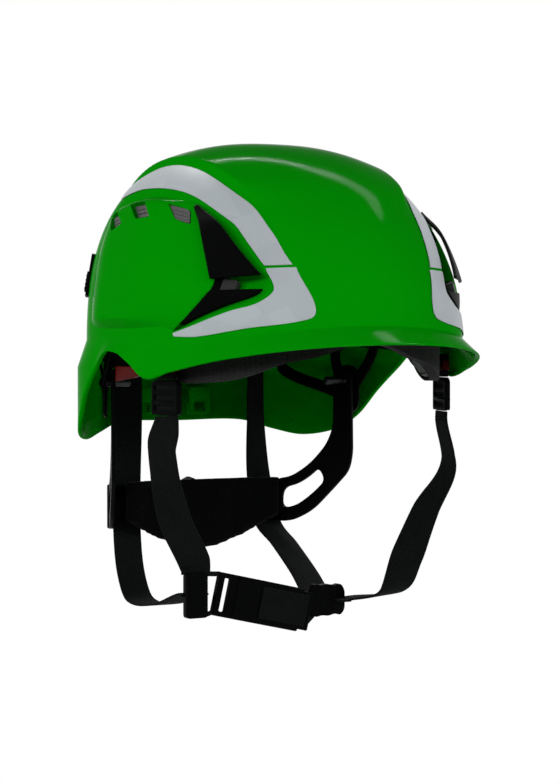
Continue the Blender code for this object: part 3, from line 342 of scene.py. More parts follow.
class Palette:
    """Every finish of the helmet and the material made from each."""

    BLACK = (0.0013, 0.0015, 0.0014)
    FINISHES = (
        MouldedPlastic("green_gloss", "green_shell", (0.0006, 0.245, 0.001), 0.09, 260.0, 0.00001, 0.03, 0.5,
                       1.013),
        ReflectiveFilm("silver_film", "reflective_film", (0.36, 0.395, 0.415)),
        MouldedPlastic("black_moulded", "black_moulding", BLACK, 0.42, 900.0, 0.00003, 0.06, 0.3, 1.09),
        MouldedPlastic("black_fitting", "black_fitting", BLACK, 0.36, 900.0, 0.00002, 0.06, 0.3, 1.09),
        MouldedPlastic("grey_moulded", "black_fitting", (0.06, 0.062, 0.06), 0.55, 900.0),
        MouldedPlastic("dark_moulded", "black_fitting", (0.022, 0.023, 0.022), 0.5, 900.0, specular=0.1),
        PadFabric("grey_spacer", "grey_pad", (0.205, 0.208, 0.206)),
        # Darker than the grey pad: partly the fold's own dark grey, partly painted shade standing in for the
        # brim's shadow over the pad's front.
        PadFabric("shade_darkened_spacer", "grey_pad", (0.02, 0.0205, 0.0205)),
        PadFabric("black_spacer", "black_pad", (0.0012, 0.0013, 0.0013)),
        Webbing("black_web", "black_webbing", (0.0042, 0.0052, 0.0047)),
        MouldedPlastic("black_thread", "black_webbing", (0.006, 0.0065, 0.0063), 0.7, 1500.0, specular=0.2,
                       ior=1.1),
        MouldedPlastic("red_moulded", "red_plastic", (0.055, 0.002, 0.0016), 0.4, specular=0.3, ior=1.12),
        Steel("drawn_steel", "steel"),
        Steel("black_steel", "steel", (0.025, 0.026, 0.027), 0.45),
    )

    def __init__(self) -> None:
        """Build every material once."""
        self.materials = {finish.name: finish.material() for finish in self.FINISHES}
        self.slots = {finish.name: finish.slot for finish in self.FINISHES}


# Shapes


def cubic(values: Array, slopes: Array, span: Array, index: Array, t: Array) -> Array:
    """Return a curve's values at shares t of its spans, from the values and slopes at its knots."""
    start = (2 * t**3 - 3 * t**2 + 1) * values[index] + (t**3 - 2 * t**2 + t) * span * slopes[index]
    return start + (3 * t**2 - 2 * t**3) * values[index + 1] + (t**3 - t**2) * span * slopes[index + 1]


def through(knots: Knots, count: int) -> Array:
    """Return evenly spread points on a smooth curve.

    Args:
        knots: Points that the curve passes through, of any dimension.
        count: How many points to return.

    Returns:
        An array with one point per row.
    """
    knots = np.asarray(knots, float)
    spans = np.linalg.norm(np.diff(knots, axis=0), axis=1)
    places = np.concatenate(([0.0], np.cumsum(spans)))
    last = len(knots) - 1
    before = np.maximum(np.arange(last + 1) - 1, 0)
    after = np.minimum(np.arange(last + 1) + 1, last)
    slopes = (knots[after] - knots[before]) / (places[after] - places[before])[:, None]
    where = np.linspace(0.0, places[-1], count)
    index = np.clip(np.searchsorted(places, where, side="right") - 1, 0, last - 1)
    t = ((where - places[index]) / spans[index])[:, None]
    return cubic(knots, slopes, spans[index][:, None], index, t)


def height_at(table: Knots, turns: Array) -> Array:
    """Return heights from (degrees, height) pairs by a smooth curve, alike on both sides.

    Args:
        table: Pairs of an angle from the front and a height.
        turns: Angles in radians.

    Returns:
        One height per angle.
    """
    degrees = np.abs((np.degrees(turns) + 180) % 360 - 180)
    angles, heights = np.array(table, float).T
    slopes = np.zeros(len(table))
    slopes[1:-1] = (heights[2:] - heights[:-2]) / (angles[2:] - angles[:-2])
    index = np.clip(np.searchsorted(angles, degrees, side="right") - 1, 0, len(table) - 2)
    span = angles[index + 1] - angles[index]
    return cubic(heights, slopes, span, index, (degrees - angles[index]) / span)


def smooth(value: Array) -> Array:
    """Return a smooth step from 0 to 1."""
    value = np.clip(value, 0.0, 1.0)
    return value * value * (3 - 2 * value)


def unit(vectors: Array) -> Array:
    """Return vectors scaled to length 1."""
    vectors = np.asarray(vectors, float)
    return vectors / np.linalg.norm(vectors, axis=-1, keepdims=True)


def line_distance(points: Array, line: Array) -> Array:
    """Return the signed distance of 2-D points from an open line, positive on its left."""
    best = np.full(len(points), np.inf)
    signed = np.zeros(len(points))
    for start, end in zip(line[:-1], line[1:]):
        along = end - start
        offset = points - start
        share = np.clip(offset @ along / (along @ along), 0.0, 1.0)
        gap = np.linalg.norm(offset - share[:, None] * along, axis=1)
        cross = along[0] * offset[:, 1] - along[1] * offset[:, 0]
        nearer = gap < best
        best = np.where(nearer, gap, best)
        signed = np.where(nearer, np.where(cross >= 0, gap, -gap), signed)
    return signed


def grid_faces(rows: int, columns: int, start: int = 0, closed: bool = False) -> list:
    """Return the quads of a grid of points, joined round its columns if closed."""
    faces = []
    for row in range(rows - 1):
        for column in range(columns if closed else columns - 1):
            after = (column + 1) % columns
            low = start + row * columns
            faces.append((low + column, low + after, low + columns + after, low + columns + column))
    return faces


def linked(name: str, mesh: bpy.types.Mesh) -> Piece:
    """Make an object for a mesh, at the origin of the scene."""
    piece = bpy.data.objects.new(name, mesh)
    bpy.context.collection.objects.link(piece)
    return piece


def mesh_piece(name: str, points: Array, faces: list, uvs: Optional[Array] = None) -> Piece:
    """Make a mesh object whose faces point out.

    Args:
        name: The object's name.
        points: One point per row, in the row frame.
        faces: Tuples of point indices.
        uvs: Optional U and V of each point, in metres.

    Returns:
        The linked object, at the origin.
    """
    mesh = bpy.data.meshes.new(name)
    mesh.from_pydata([tuple(point) for point in points], [], faces)
    if uvs is not None:
        layer = mesh.uv_layers.new(name="weave")
        corners = np.empty(len(mesh.loops), np.int32)
        mesh.loops.foreach_get("vertex_index", corners)
        layer.data.foreach_set("uv", np.asarray(uvs, np.float32)[corners].ravel())
    turn_out(mesh)
    return linked(name, mesh)


def turn_out(mesh: bpy.types.Mesh) -> None:
    """Make a closed mesh's faces point out."""
    shape = bmesh.new()
    shape.from_mesh(mesh)
    bmesh.ops.recalc_face_normals(shape, faces=shape.faces)
    shape.to_mesh(mesh)
    shape.free()


def settle(piece: Piece) -> Piece:
    """Turn a piece's modifiers into plain mesh."""
    graph = bpy.context.evaluated_depsgraph_get()
    mesh = bpy.data.meshes.new_from_object(piece.evaluated_get(graph))
    piece.modifiers.clear()
    piece.data = mesh
    return piece


def carve(piece: Piece, tool: Piece, operation: str) -> None:
    """Join or cut a piece with a closed tool, which is then removed."""
    step = piece.modifiers.new("carve", "BOOLEAN")
    step.operation = operation
    step.solver = "MANIFOLD"
    step.object = tool
    settle(piece)
    bpy.data.objects.remove(tool)


def eased(piece: Piece, width: float, segments: int = 2, angle: float = 35.0) -> Piece:
    """Round the edges of a piece that are sharper than an angle in degrees."""
    step = piece.modifiers.new("ease", "BEVEL")
    step.width = width
    step.segments = segments
    step.limit_method = "ANGLE"
    step.angle_limit = math.radians(angle)
    step.use_clamp_overlap = True
    return settle(piece)


def merged(name: str, parts: Sequence[Piece]) -> Piece:
    """Join several pieces into one object, each keeping its own closed surface and material."""
    shape = bmesh.new()
    materials = []
    for part in parts:
        count = len(shape.faces)
        shape.from_mesh(part.data)
        shape.faces.ensure_lookup_table()
        own = next((material for material in part.data.materials if material), None)
        if own not in materials:
            materials.append(own)
        for face in shape.faces[count:]:
            face.material_index = materials.index(own)
    mesh = bpy.data.meshes.new(name)
    shape.to_mesh(mesh)
    shape.free()
    for material in materials:
        mesh.materials.append(material)
    for part in parts:
        bpy.data.objects.remove(part)
    return linked(name, mesh)


def plate(name: str, low: Array, high: Array) -> Piece:
    """Make a solid between two equal grids of points, joined along their border."""
    rows, columns = low.shape[:2]
    layer = rows * columns
    faces = grid_faces(rows, columns) + grid_faces(rows, columns, layer)
    border = list(range(columns))
    border += [row * columns + columns - 1 for row in range(1, rows)]
    border += [(rows - 1) * columns + column for column in range(columns - 2, -1, -1)]
    border += [row * columns for row in range(rows - 2, 0, -1)]
    for first, second in zip(border, border[1:] + border[:1]):
        faces.append((first, second, second + layer, first + layer))
    return mesh_piece(name, np.concatenate((low.reshape(-1, 3), high.reshape(-1, 3))), faces)


def tube(name: str, rings: Sequence[Array], uvs: Optional[Array] = None) -> Piece:
    """Make a solid from equal rings of points, closed by a flat cap at both ends."""
    count, size = np.shape(rings)[:2]
    faces = grid_faces(count, size, closed=True)
    faces += [tuple(range(size)), tuple(range((count - 1) * size, count * size))]
    return mesh_piece(name, np.reshape(rings, (-1, 3)), faces, uvs)


def lathe(name: str, start: Sequence[float], axis: Sequence[float], profile: Knots, segments: int) -> Piece:
    """Make a round solid about an axis from (distance, radius) pairs."""
    axis = Vector(axis).normalized()
    across = axis.orthogonal().normalized()
    beside = axis.cross(across)
    turns = np.linspace(0, 2 * math.pi, segments, endpoint=False)
    ring = np.cos(turns)[:, None] * np.array(across) + np.sin(turns)[:, None] * np.array(beside)
    middle = np.array(start)
    return tube(name, [middle + np.array(axis) * distance + ring * radius for distance, radius in profile])


def rounded_outline(corners: Knots, radius: float, steps: int = 5) -> list:
    """Return a 2-D outline whose corners are rounded."""
    corners = np.asarray(corners, float)
    outline = []
    for index, corner in enumerate(corners):
        before, after = corners[index - 1] - corner, corners[(index + 1) % len(corners)] - corner
        reach = min(radius, 0.48 * np.linalg.norm(before), 0.48 * np.linalg.norm(after))
        start, end = corner + unit(before) * reach, corner + unit(after) * reach
        for step in range(steps + 1):
            t = step / steps
            outline.append((1 - t) ** 2 * start + 2 * t * (1 - t) * corner + t**2 * end)
    return outline


def oblong(wide: float, tall: float, radius: float, centre: Sequence[float] = (0.0, 0.0)) -> list:
    """Return a rounded rectangle's outline from its full width and height."""
    x, y = wide / 2, tall / 2
    corners = np.array(((-x, -y), (x, -y), (x, y), (-x, y))) + np.array(centre)
    return rounded_outline(corners, radius)


def circle(radius: float, height: float = 0.0) -> list:
    """Return a circle's outline, with its centre at a height."""
    turns = np.linspace(0, 2 * math.pi, 25)[:-1]
    return [(radius * math.cos(turn), height + radius * math.sin(turn)) for turn in turns]


def stamped(outline: Knots, holes: Sequence[Knots], depth: float, frame: Matrix, ease: float) -> Piece:
    """Make a flat plate with holes and eased edges.

    Args:
        outline: The outer loop in the plate's own plane.
        holes: Loops of the holes.
        depth: The plate's thickness, half to each side of the plane.
        frame: The plate's place in the row frame.
        ease: How much its edges are rounded.

    Returns:
        The plate.
    """
    shape = bmesh.new()
    edges = []
    for loop in (outline, *holes):
        corners = [shape.verts.new((point[0], point[1], -depth / 2)) for point in loop]
        edges += [shape.edges.new((corners[index - 1], corners[index])) for index in range(len(corners))]
    bmesh.ops.triangle_fill(shape, edges=edges, use_beauty=True)
    out = bmesh.ops.extrude_face_region(shape, geom=list(shape.faces))
    moved = [part for part in out["geom"] if isinstance(part, bmesh.types.BMVert)]
    bmesh.ops.translate(shape, verts=moved, vec=(0, 0, depth))
    bmesh.ops.recalc_face_normals(shape, faces=shape.faces)
    mesh = bpy.data.meshes.new("stamped")
    shape.to_mesh(mesh)
    shape.free()
    piece = eased(linked("stamped", mesh), ease, 2, 50.0)
    piece.data.transform(frame)
    turn_out(piece.data)
    return piece


def framed(origin: Sequence[float], along: Sequence[float], across: Sequence[float]) -> Matrix:
    """Return a frame from its origin, its first axis and a direction near its second."""
    first = Vector(along).normalized()
    third = first.cross(Vector(across)).normalized()
    frame = Matrix((first, third.cross(first), third)).transposed().to_4x4()
    frame.translation = Vector(origin)
    return frame


def upright(origin: Sequence[float]) -> Matrix:
    """Return a frame whose plane faces the front, with its first axis along X and its second up."""
    return framed(origin, (1, 0, 0), (0, 0, 1))


def strap_profile(width: float, thickness: float, steps: int = 8) -> Array:
    """Return a strap's section: flat faces, with rounded selvedges."""
    half, deep = width / 2, thickness / 2
    flat = np.linspace(-half + deep, half - deep, steps)
    bend = np.linspace(-math.pi / 2, math.pi / 2, 5)[1:-1]
    section = [(x, -deep) for x in flat]
    section += [(half - deep + deep * math.cos(turn), deep * math.sin(turn)) for turn in bend]
    section += [(x, deep) for x in flat[::-1]]
    section += [(-half + deep - deep * math.cos(turn), -deep * math.sin(turn)) for turn in bend]
    return np.array(section)


def strap_frames(knots: Knots, across: Knots, count: int) -> tuple:
    """Return a strap's middle points, width directions and face directions along a smooth curve."""
    middles = through(knots, count)
    ahead = unit(np.gradient(middles, axis=0))
    across = np.asarray(across, float)
    share = np.linspace(0, len(across) - 1, count)
    index = np.clip(share.astype(int), 0, max(len(across) - 2, 0))
    after = np.minimum(index + 1, len(across) - 1)
    wide = across[index] + (across[after] - across[index]) * (share - index)[:, None]
    wide = unit(wide - ahead * np.sum(wide * ahead, axis=1, keepdims=True))
    return middles, wide, np.cross(ahead, wide)


def swept(name: str, middles: Array, wides: Array, faces_out: Array, section: Array) -> Piece:
    """Make a closed strap with a UV map in metres.

    Args:
        name: The object's name.
        middles: Points along its middle.
        wides: The direction across it, at every point or once for all.
        faces_out: The direction out of its face, likewise.
        section: Its section as (across, out) pairs.

    Returns:
        The strap.
    """
    wides, faces_out = (np.broadcast_to(axis, middles.shape) for axis in (wides, faces_out))
    across = wides[:, None] * section[None, :, :1]
    points = middles[:, None] + across + faces_out[:, None] * section[None, :, 1:]
    length = np.concatenate(([0.0], np.cumsum(np.linalg.norm(np.diff(middles, axis=0), axis=1))))
    uvs = np.stack(np.broadcast_arrays(section[None, :, 0], length[:, None]), axis=-1).reshape(-1, 2)
    return tube(name, points, uvs)


# Rows of repeated things


class RepeatRow:
    """Geometry Nodes that set a small thing on every point of a mesh, turned by the point's directions."""

    SEED = 7
    INPUTS = (("Points", "Geometry"), ("Size", "Vector"), ("Unevenness", "Float"), ("Material", "Material"))

    def __init__(self, shape: Repeat) -> None:
        """Build the node tree of one kind of thing."""
        self.tree = bpy.data.node_groups.new(f"{shape.value}_row", "GeometryNodeTree")
        face = self.tree.interface
        for name, kind in self.INPUTS:
            face.new_socket(name, in_out="INPUT", socket_type=f"NodeSocket{kind}")
        face.new_socket("Geometry", in_out="OUTPUT", socket_type="NodeSocketGeometry")
        self.sockets = {item.name: item.identifier for item in face.items_tree if item.in_out == "INPUT"}
        start = self.tree.nodes.new("NodeGroupInput").outputs
        cloud = self.add("GeometryNodeMeshToPoints", {"Mesh": start["Points"]})
        along, out = (self.add("GeometryNodeInputNamedAttribute", {"Name": name}, data_type="FLOAT_VECTOR")
                      for name in ("along", "out"))
        first = self.add("FunctionNodeAlignRotationToVector", {"Vector": along.outputs[0]}, axis="X")
        turned = {"Rotation": first.outputs[0], "Vector": out.outputs[0]}
        second = self.add("FunctionNodeAlignRotationToVector", turned, axis="Z", pivot_axis="X")
        less, more = (self.add("ShaderNodeMath", {0: 1.0, 1: start["Unevenness"]}, operation=operation)
                      for operation in ("SUBTRACT", "ADD"))
        range_ends = {2: less.outputs[0], 3: more.outputs[0]}
        jitter = self.add("FunctionNodeRandomValue", {"Seed": self.SEED, **range_ends}, data_type="FLOAT")
        sized = {0: start["Size"], "Scale": jitter.outputs[1]}
        scale = self.add("ShaderNodeVectorMath", sized, operation="SCALE")
        placed = {"Points": cloud.outputs[0], "Instance": self.thing(shape).outputs["Mesh"]}
        placed |= {"Rotation": second.outputs[0], "Scale": scale.outputs[0]}
        copies = self.add("GeometryNodeInstanceOnPoints", placed)
        real = self.add("GeometryNodeRealizeInstances", {0: copies.outputs[0]})
        coloured = {"Geometry": real.outputs[0], "Material": start["Material"]}
        finished = self.add("GeometryNodeSetMaterial", coloured)
        self.add("NodeGroupOutput", {0: finished.outputs[0]})

    def add(self, kind: str, inputs: dict, **settings: object) -> Node:
        """Add a node to the tree, and return it."""
        return add_node(self.tree, kind, inputs, **settings)

    def thing(self, shape: Repeat) -> Node:
        """Add the node that makes the thing itself, one unit in size, and return it."""
        if shape is Repeat.STITCH:
            return self.add("GeometryNodeMeshUVSphere", {"Segments": 8, "Rings": 6, "Radius": 0.5})
        return self.add("GeometryNodeMeshCube", {"Size": (1.0, 1.0, 1.0)})

    def grow(self, name: str, points: Array, along: Array, out: Array, size: Sequence[float],
             material: Material, unevenness: float) -> Piece:
        """Make the row as plain mesh.

        Args:
            name: The object's name.
            points: Where each thing sits.
            along: Each thing's X direction.
            out: Each thing's Z direction.
            size: The thing's size along its own axes.
            material: The thing's material.
            unevenness: How much its size varies, as a share.

        Returns:
            The row's object.
        """
        mesh = bpy.data.meshes.new(name)
        mesh.from_pydata([tuple(point) for point in points], [], [])
        for key, vectors in (("along", along), ("out", out)):
            spread = np.broadcast_to(np.asarray(vectors, np.float32), (len(points), 3))
            mesh.attributes.new(key, "FLOAT_VECTOR", "POINT").data.foreach_set("vector", spread.ravel())
        piece = linked(name, mesh)
        step = piece.modifiers.new("row", "NODES")
        step.node_group = self.tree
        step[self.sockets["Size"]] = tuple(size)
        step[self.sockets["Unevenness"]] = unevenness
        step[self.sockets["Material"]] = material
        settle(piece)
        for key in ("along", "out"):
            if key in piece.data.attributes:
                piece.data.attributes.remove(piece.data.attributes[key])
        return piece


class Workshop:
    """What every sub-assembly builds with: the frame, the materials and the repeated rows."""

    def __init__(self, frame: dict) -> None:
        """Build the materials and the node trees once."""
        self.frame = frame
        self.palette = Palette()
        self.rows = {shape: RepeatRow(shape) for shape in Repeat}
        self.count = 0

    def paint(self, piece: Piece, finish: str) -> Piece:
        """Give a whole piece one finish, and return it."""
        piece.data.materials.clear()
        piece.data.materials.append(self.palette.materials[finish])
        piece.data.polygons.foreach_set("material_index", np.zeros(len(piece.data.polygons), np.int32))
        return piece

    def row(self, shape: Repeat, finish: str, points: Array, along: Array, out: Array, size: Sequence[float],
            name: str = "row", unevenness: float = 0.0) -> Piece:
        """Make a row of repeated things in one finish."""
        material = self.palette.materials[finish]
        return self.rows[shape].grow(name, points, along, out, size, material, unevenness)

    def dress(self, piece: Piece, finish: str, node: str = "", body: Optional[Body] = Body.SHELL,
              sharp: float = 35.0) -> Piece:
        """Finish a piece and hang it on its body.

        Args:
            piece: The piece, already in place.
            finish: Its main finish.
            node: The CAD node that it stands for, if any.
            body: The body that it rides on, or None for a piece that is blended afterwards.
            sharp: Edges sharper than this angle in degrees stay sharp.

        Returns:
            The piece.
        """
        if not any(piece.data.materials):
            self.paint(piece, finish)
        piece.data.shade_smooth()
        piece.data.set_sharp_from_angle(angle=math.radians(sharp))
        if body is not None:
            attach(piece, body.value)
        if node:
            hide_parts(node)
        self.count += 1
        LOG.info("%s: %d faces, %s", piece.name, len(piece.data.polygons), finish)
        return piece

    def assemble(self, node: str, finish: str, parts: Sequence[Piece], name: str = "",
                 body: Body = Body.SHELL, sharp: float = 35.0) -> Piece:
        """Join parts into the dressed piece of a CAD node, painting those without a finish of their own."""
        for part in parts:
            if not any(part.data.materials):
                self.paint(part, finish)
        return self.dress(merged(name or f"{node}_visual", parts), finish, node, body, sharp)

    def stitches(self, name: str, points: Array, along: Array, out: Array, body: Body = Body.SHELL,
                 size: Sequence[float] = (0.0014, 0.0006, 0.0006), unevenness: float = 0.1) -> None:
        """Make and dress a row of stitches."""
        row = self.row(Repeat.STITCH, "black_thread", points, along, out, size, name, unevenness)
        self.dress(row, "black_thread", body=body)

    def tacks(self, name: str, places: Sequence[tuple], reach: float, count: int, thickness: float,
              body: Body = Body.SHELL) -> None:
        """Make and dress rows of stitches across a strap, on both of its faces.

        Args:
            name: The object's name.
            places: Each row's middle, direction across and direction out.
            reach: How far a row runs to either side.
            count: The stitches of a row.
            thickness: The strap's thickness.
            body: The body that the stitches ride on.
        """
        spots = [(middle + wide * share + out * sign * thickness / 2, wide, out)
                 for middle, wide, out in places
                 for share in np.linspace(-reach, reach, count) for sign in (-1, 1)]
        self.stitches(name, *(np.array(part) for part in zip(*spots)), body)

    def copied(self, node: str, name: str) -> Piece:
        """Return a welded copy of a CAD node, in the row frame."""
        source = self.frame["nodes"][node]
        mesh = source.data.copy()
        mesh.transform(source.matrix_world)
        mesh.materials.clear()
        shape = bmesh.new()
        shape.from_mesh(mesh)
        bmesh.ops.remove_doubles(shape, verts=shape.verts, dist=0.00002)
        flat_angle = math.radians(1.0)
        bmesh.ops.dissolve_limit(shape, angle_limit=flat_angle, verts=shape.verts, edges=shape.edges)
        bmesh.ops.recalc_face_normals(shape, faces=shape.faces)
        shape.to_mesh(mesh)
        shape.free()
        return linked(name, mesh)

    def fitting(self, node: str, finish: str, ease: float, name: str = "", body: Body = Body.SHELL,
                segments: int = 2, angle: float = 35.0) -> None:
        """Make and dress a piece that is its CAD node with rounded edges."""
        piece = eased(self.copied(node, name or f"{node}_visual"), ease, segments, angle)
        self.dress(piece, finish, node, body)


# Shell and what is on it


class Dome:
    """The smooth dome that the shell and everything on it follow."""

    HALF_WIDTH = 0.102
    FRONT_REACH = 0.117
    REAR_REACH = 0.13
    CROWN_Z = 0.137
    SHOULDER_Z = 0.012
    CROWN_SHIFT = 0.016
    FRONT_ROUND = 2.05
    REAR_ROUND = 2.42
    SIDE_CURVE = (2.5, 2.68)
    FRONT_CURVE = (1.67, 2.22)
    REAR_CURVE = (2.8, 2.4)
    WALL = 0.003

    def ring(self, z: Array) -> tuple:
        """Return the half width, front reach, rear reach and shift at each height."""
        zeta = np.clip((z - self.SHOULDER_Z) / (self.CROWN_Z - self.SHOULDER_Z), 0.0, 1.0)
        shrink = [(1 - zeta ** a) ** (1 / b) for a, b in (self.SIDE_CURVE, self.FRONT_CURVE, self.REAR_CURVE)]
        reaches = (self.HALF_WIDTH, self.FRONT_REACH, self.REAR_REACH)
        return (*(reach * share for reach, share in zip(reaches, shrink)), self.CROWN_SHIFT * zeta**2)

    def plan(self, y: Array, z: Array) -> tuple:
        """Return the half width, the share of the reach that Y takes, and the plan's power at each height."""
        *reaches, shift = self.ring(z)
        half, front, rear = (np.maximum(reach, 1e-6) for reach in reaches)
        ahead = y < shift
        share = np.abs(y - shift) / np.where(ahead, front, rear)
        return half, share, np.where(ahead, self.FRONT_ROUND, self.REAR_ROUND)

    def level(self, points: Array) -> Array:
        """Return 1 on the dome, less inside it and more outside."""
        half, share, power = self.plan(points[..., 1], points[..., 2])
        return (np.abs(points[..., 0]) / half) ** power + share ** power

    def normal(self, points: Array) -> Array:
        """Return the dome's outward direction at points on or near it."""
        step = 0.0002
        slope = np.zeros_like(points)
        for axis in range(3):
            nudge = np.zeros(3)
            nudge[axis] = step
            slope[..., axis] = self.level(points + nudge) - self.level(points - nudge)
        crown = points[..., 2] > self.CROWN_Z - 10 * step
        slope[crown] = UP
        return unit(slope)

    def at_turn(self, turns: Array, z: Array) -> Array:
        """Return the dome's points at angles round from the front and at heights."""
        side, front, rear, shift = self.ring(z)
        sine, cosine = np.sin(turns), np.cos(turns)
        power = 2 / np.where(cosine > 0, self.FRONT_ROUND, self.REAR_ROUND)
        reach = np.where(cosine > 0, -front, rear)
        x = np.sign(sine) * side * np.abs(sine) ** power
        y = shift + reach * np.abs(cosine) ** power
        return np.stack(np.broadcast_arrays(x, y, z), axis=-1)

    def at_side(self, places: Array, side: Side) -> Array:
        """Return the dome's points at (Y, Z) places of a side view."""
        y, z = places[..., 0], places[..., 1]
        half, share, power = self.plan(y, z)
        width = np.clip(1 - share ** power, 0.0, 1.0) ** (1 / power)
        return np.stack((side.value * half * width, y, z), axis=-1)

    def lifted(self, points: Array, lift: Array) -> Array:
        """Move points of the dome out along its normal."""
        return points + self.normal(points) * np.asarray(lift)[..., None]

    def inside(self, turn: float, z: float, depth: float) -> Array:
        """Return a point a depth below the inner face, with the turn in degrees."""
        point = self.at_turn(np.array(math.radians(turn)), np.array(z))
        return self.lifted(point, -self.WALL - depth)

    def patch(self, edges: Sequence[Knots], side: Side, low: Lift, high: Lift, counts: tuple = (13, 33),
              name: str = "patch") -> Piece:
        """Make a plate over the dome between two edges of the side view.

        Args:
            edges: Knots of the first and of the second edge, as (Y, Z).
            side: The side of the helmet.
            low: Lift of its inner face from the shares across and along.
            high: Lift of its outer face.
            counts: How many points it has across and along.
            name: The object's name.

        Returns:
            The plate.
        """
        across, along = (np.linspace(0, 1, count) for count in counts)
        points = self.at_side(self.between(edges, across, along), side)
        shares = np.meshgrid(across, along)
        return plate(name, self.lifted(points, low(*shares)), self.lifted(points, high(*shares)))

    @staticmethod
    def between(edges: Sequence[Knots], across: Array, along: Array) -> Array:
        """Return places of the side view at shares across and along two smooth edges."""
        lines = []
        for edge in edges:
            fine = through(edge, 241)
            index = np.linspace(0, 1, len(fine))
            lines.append(np.stack([np.interp(along, index, axis) for axis in fine.T], axis=-1))
        first, second = lines
        return first[:, None] + (second - first)[:, None] * across[None, :, None]

    def prism(self, corners: Knots, side: Side, radius: float, lifts: Sequence[float]) -> Piece:
        """Make a block through the wall from a rounded outline of the side view, between two lifts."""
        points = self.at_side(np.array(rounded_outline(corners, radius)), side)
        return tube("prism", [self.lifted(points, lift) for lift in lifts])

    def frame_at(self, place: Sequence[float], side: Side, lift: float) -> Matrix:
        """Return a frame on the dome, raised by a lift: along Y, up the dome and out of it."""
        middle = self.at_side(np.array(place, float), side)
        out = self.normal(middle)
        along = unit(BACK - out * out[1])
        return framed(middle, along, np.cross(out, along)) @ Matrix.Translation((0, 0, lift))


def flat(value: float) -> Lift:
    """Return a lift that is the same everywhere."""
    return lambda across, along: np.full_like(across, value)


def rounded_start(shares: Array, reach: float) -> Array:
    """Return a quarter wave that rises from 0 to 1 over a reach of the shares."""
    return np.sin(np.clip(shares / reach, 0, 1) * math.pi / 2)


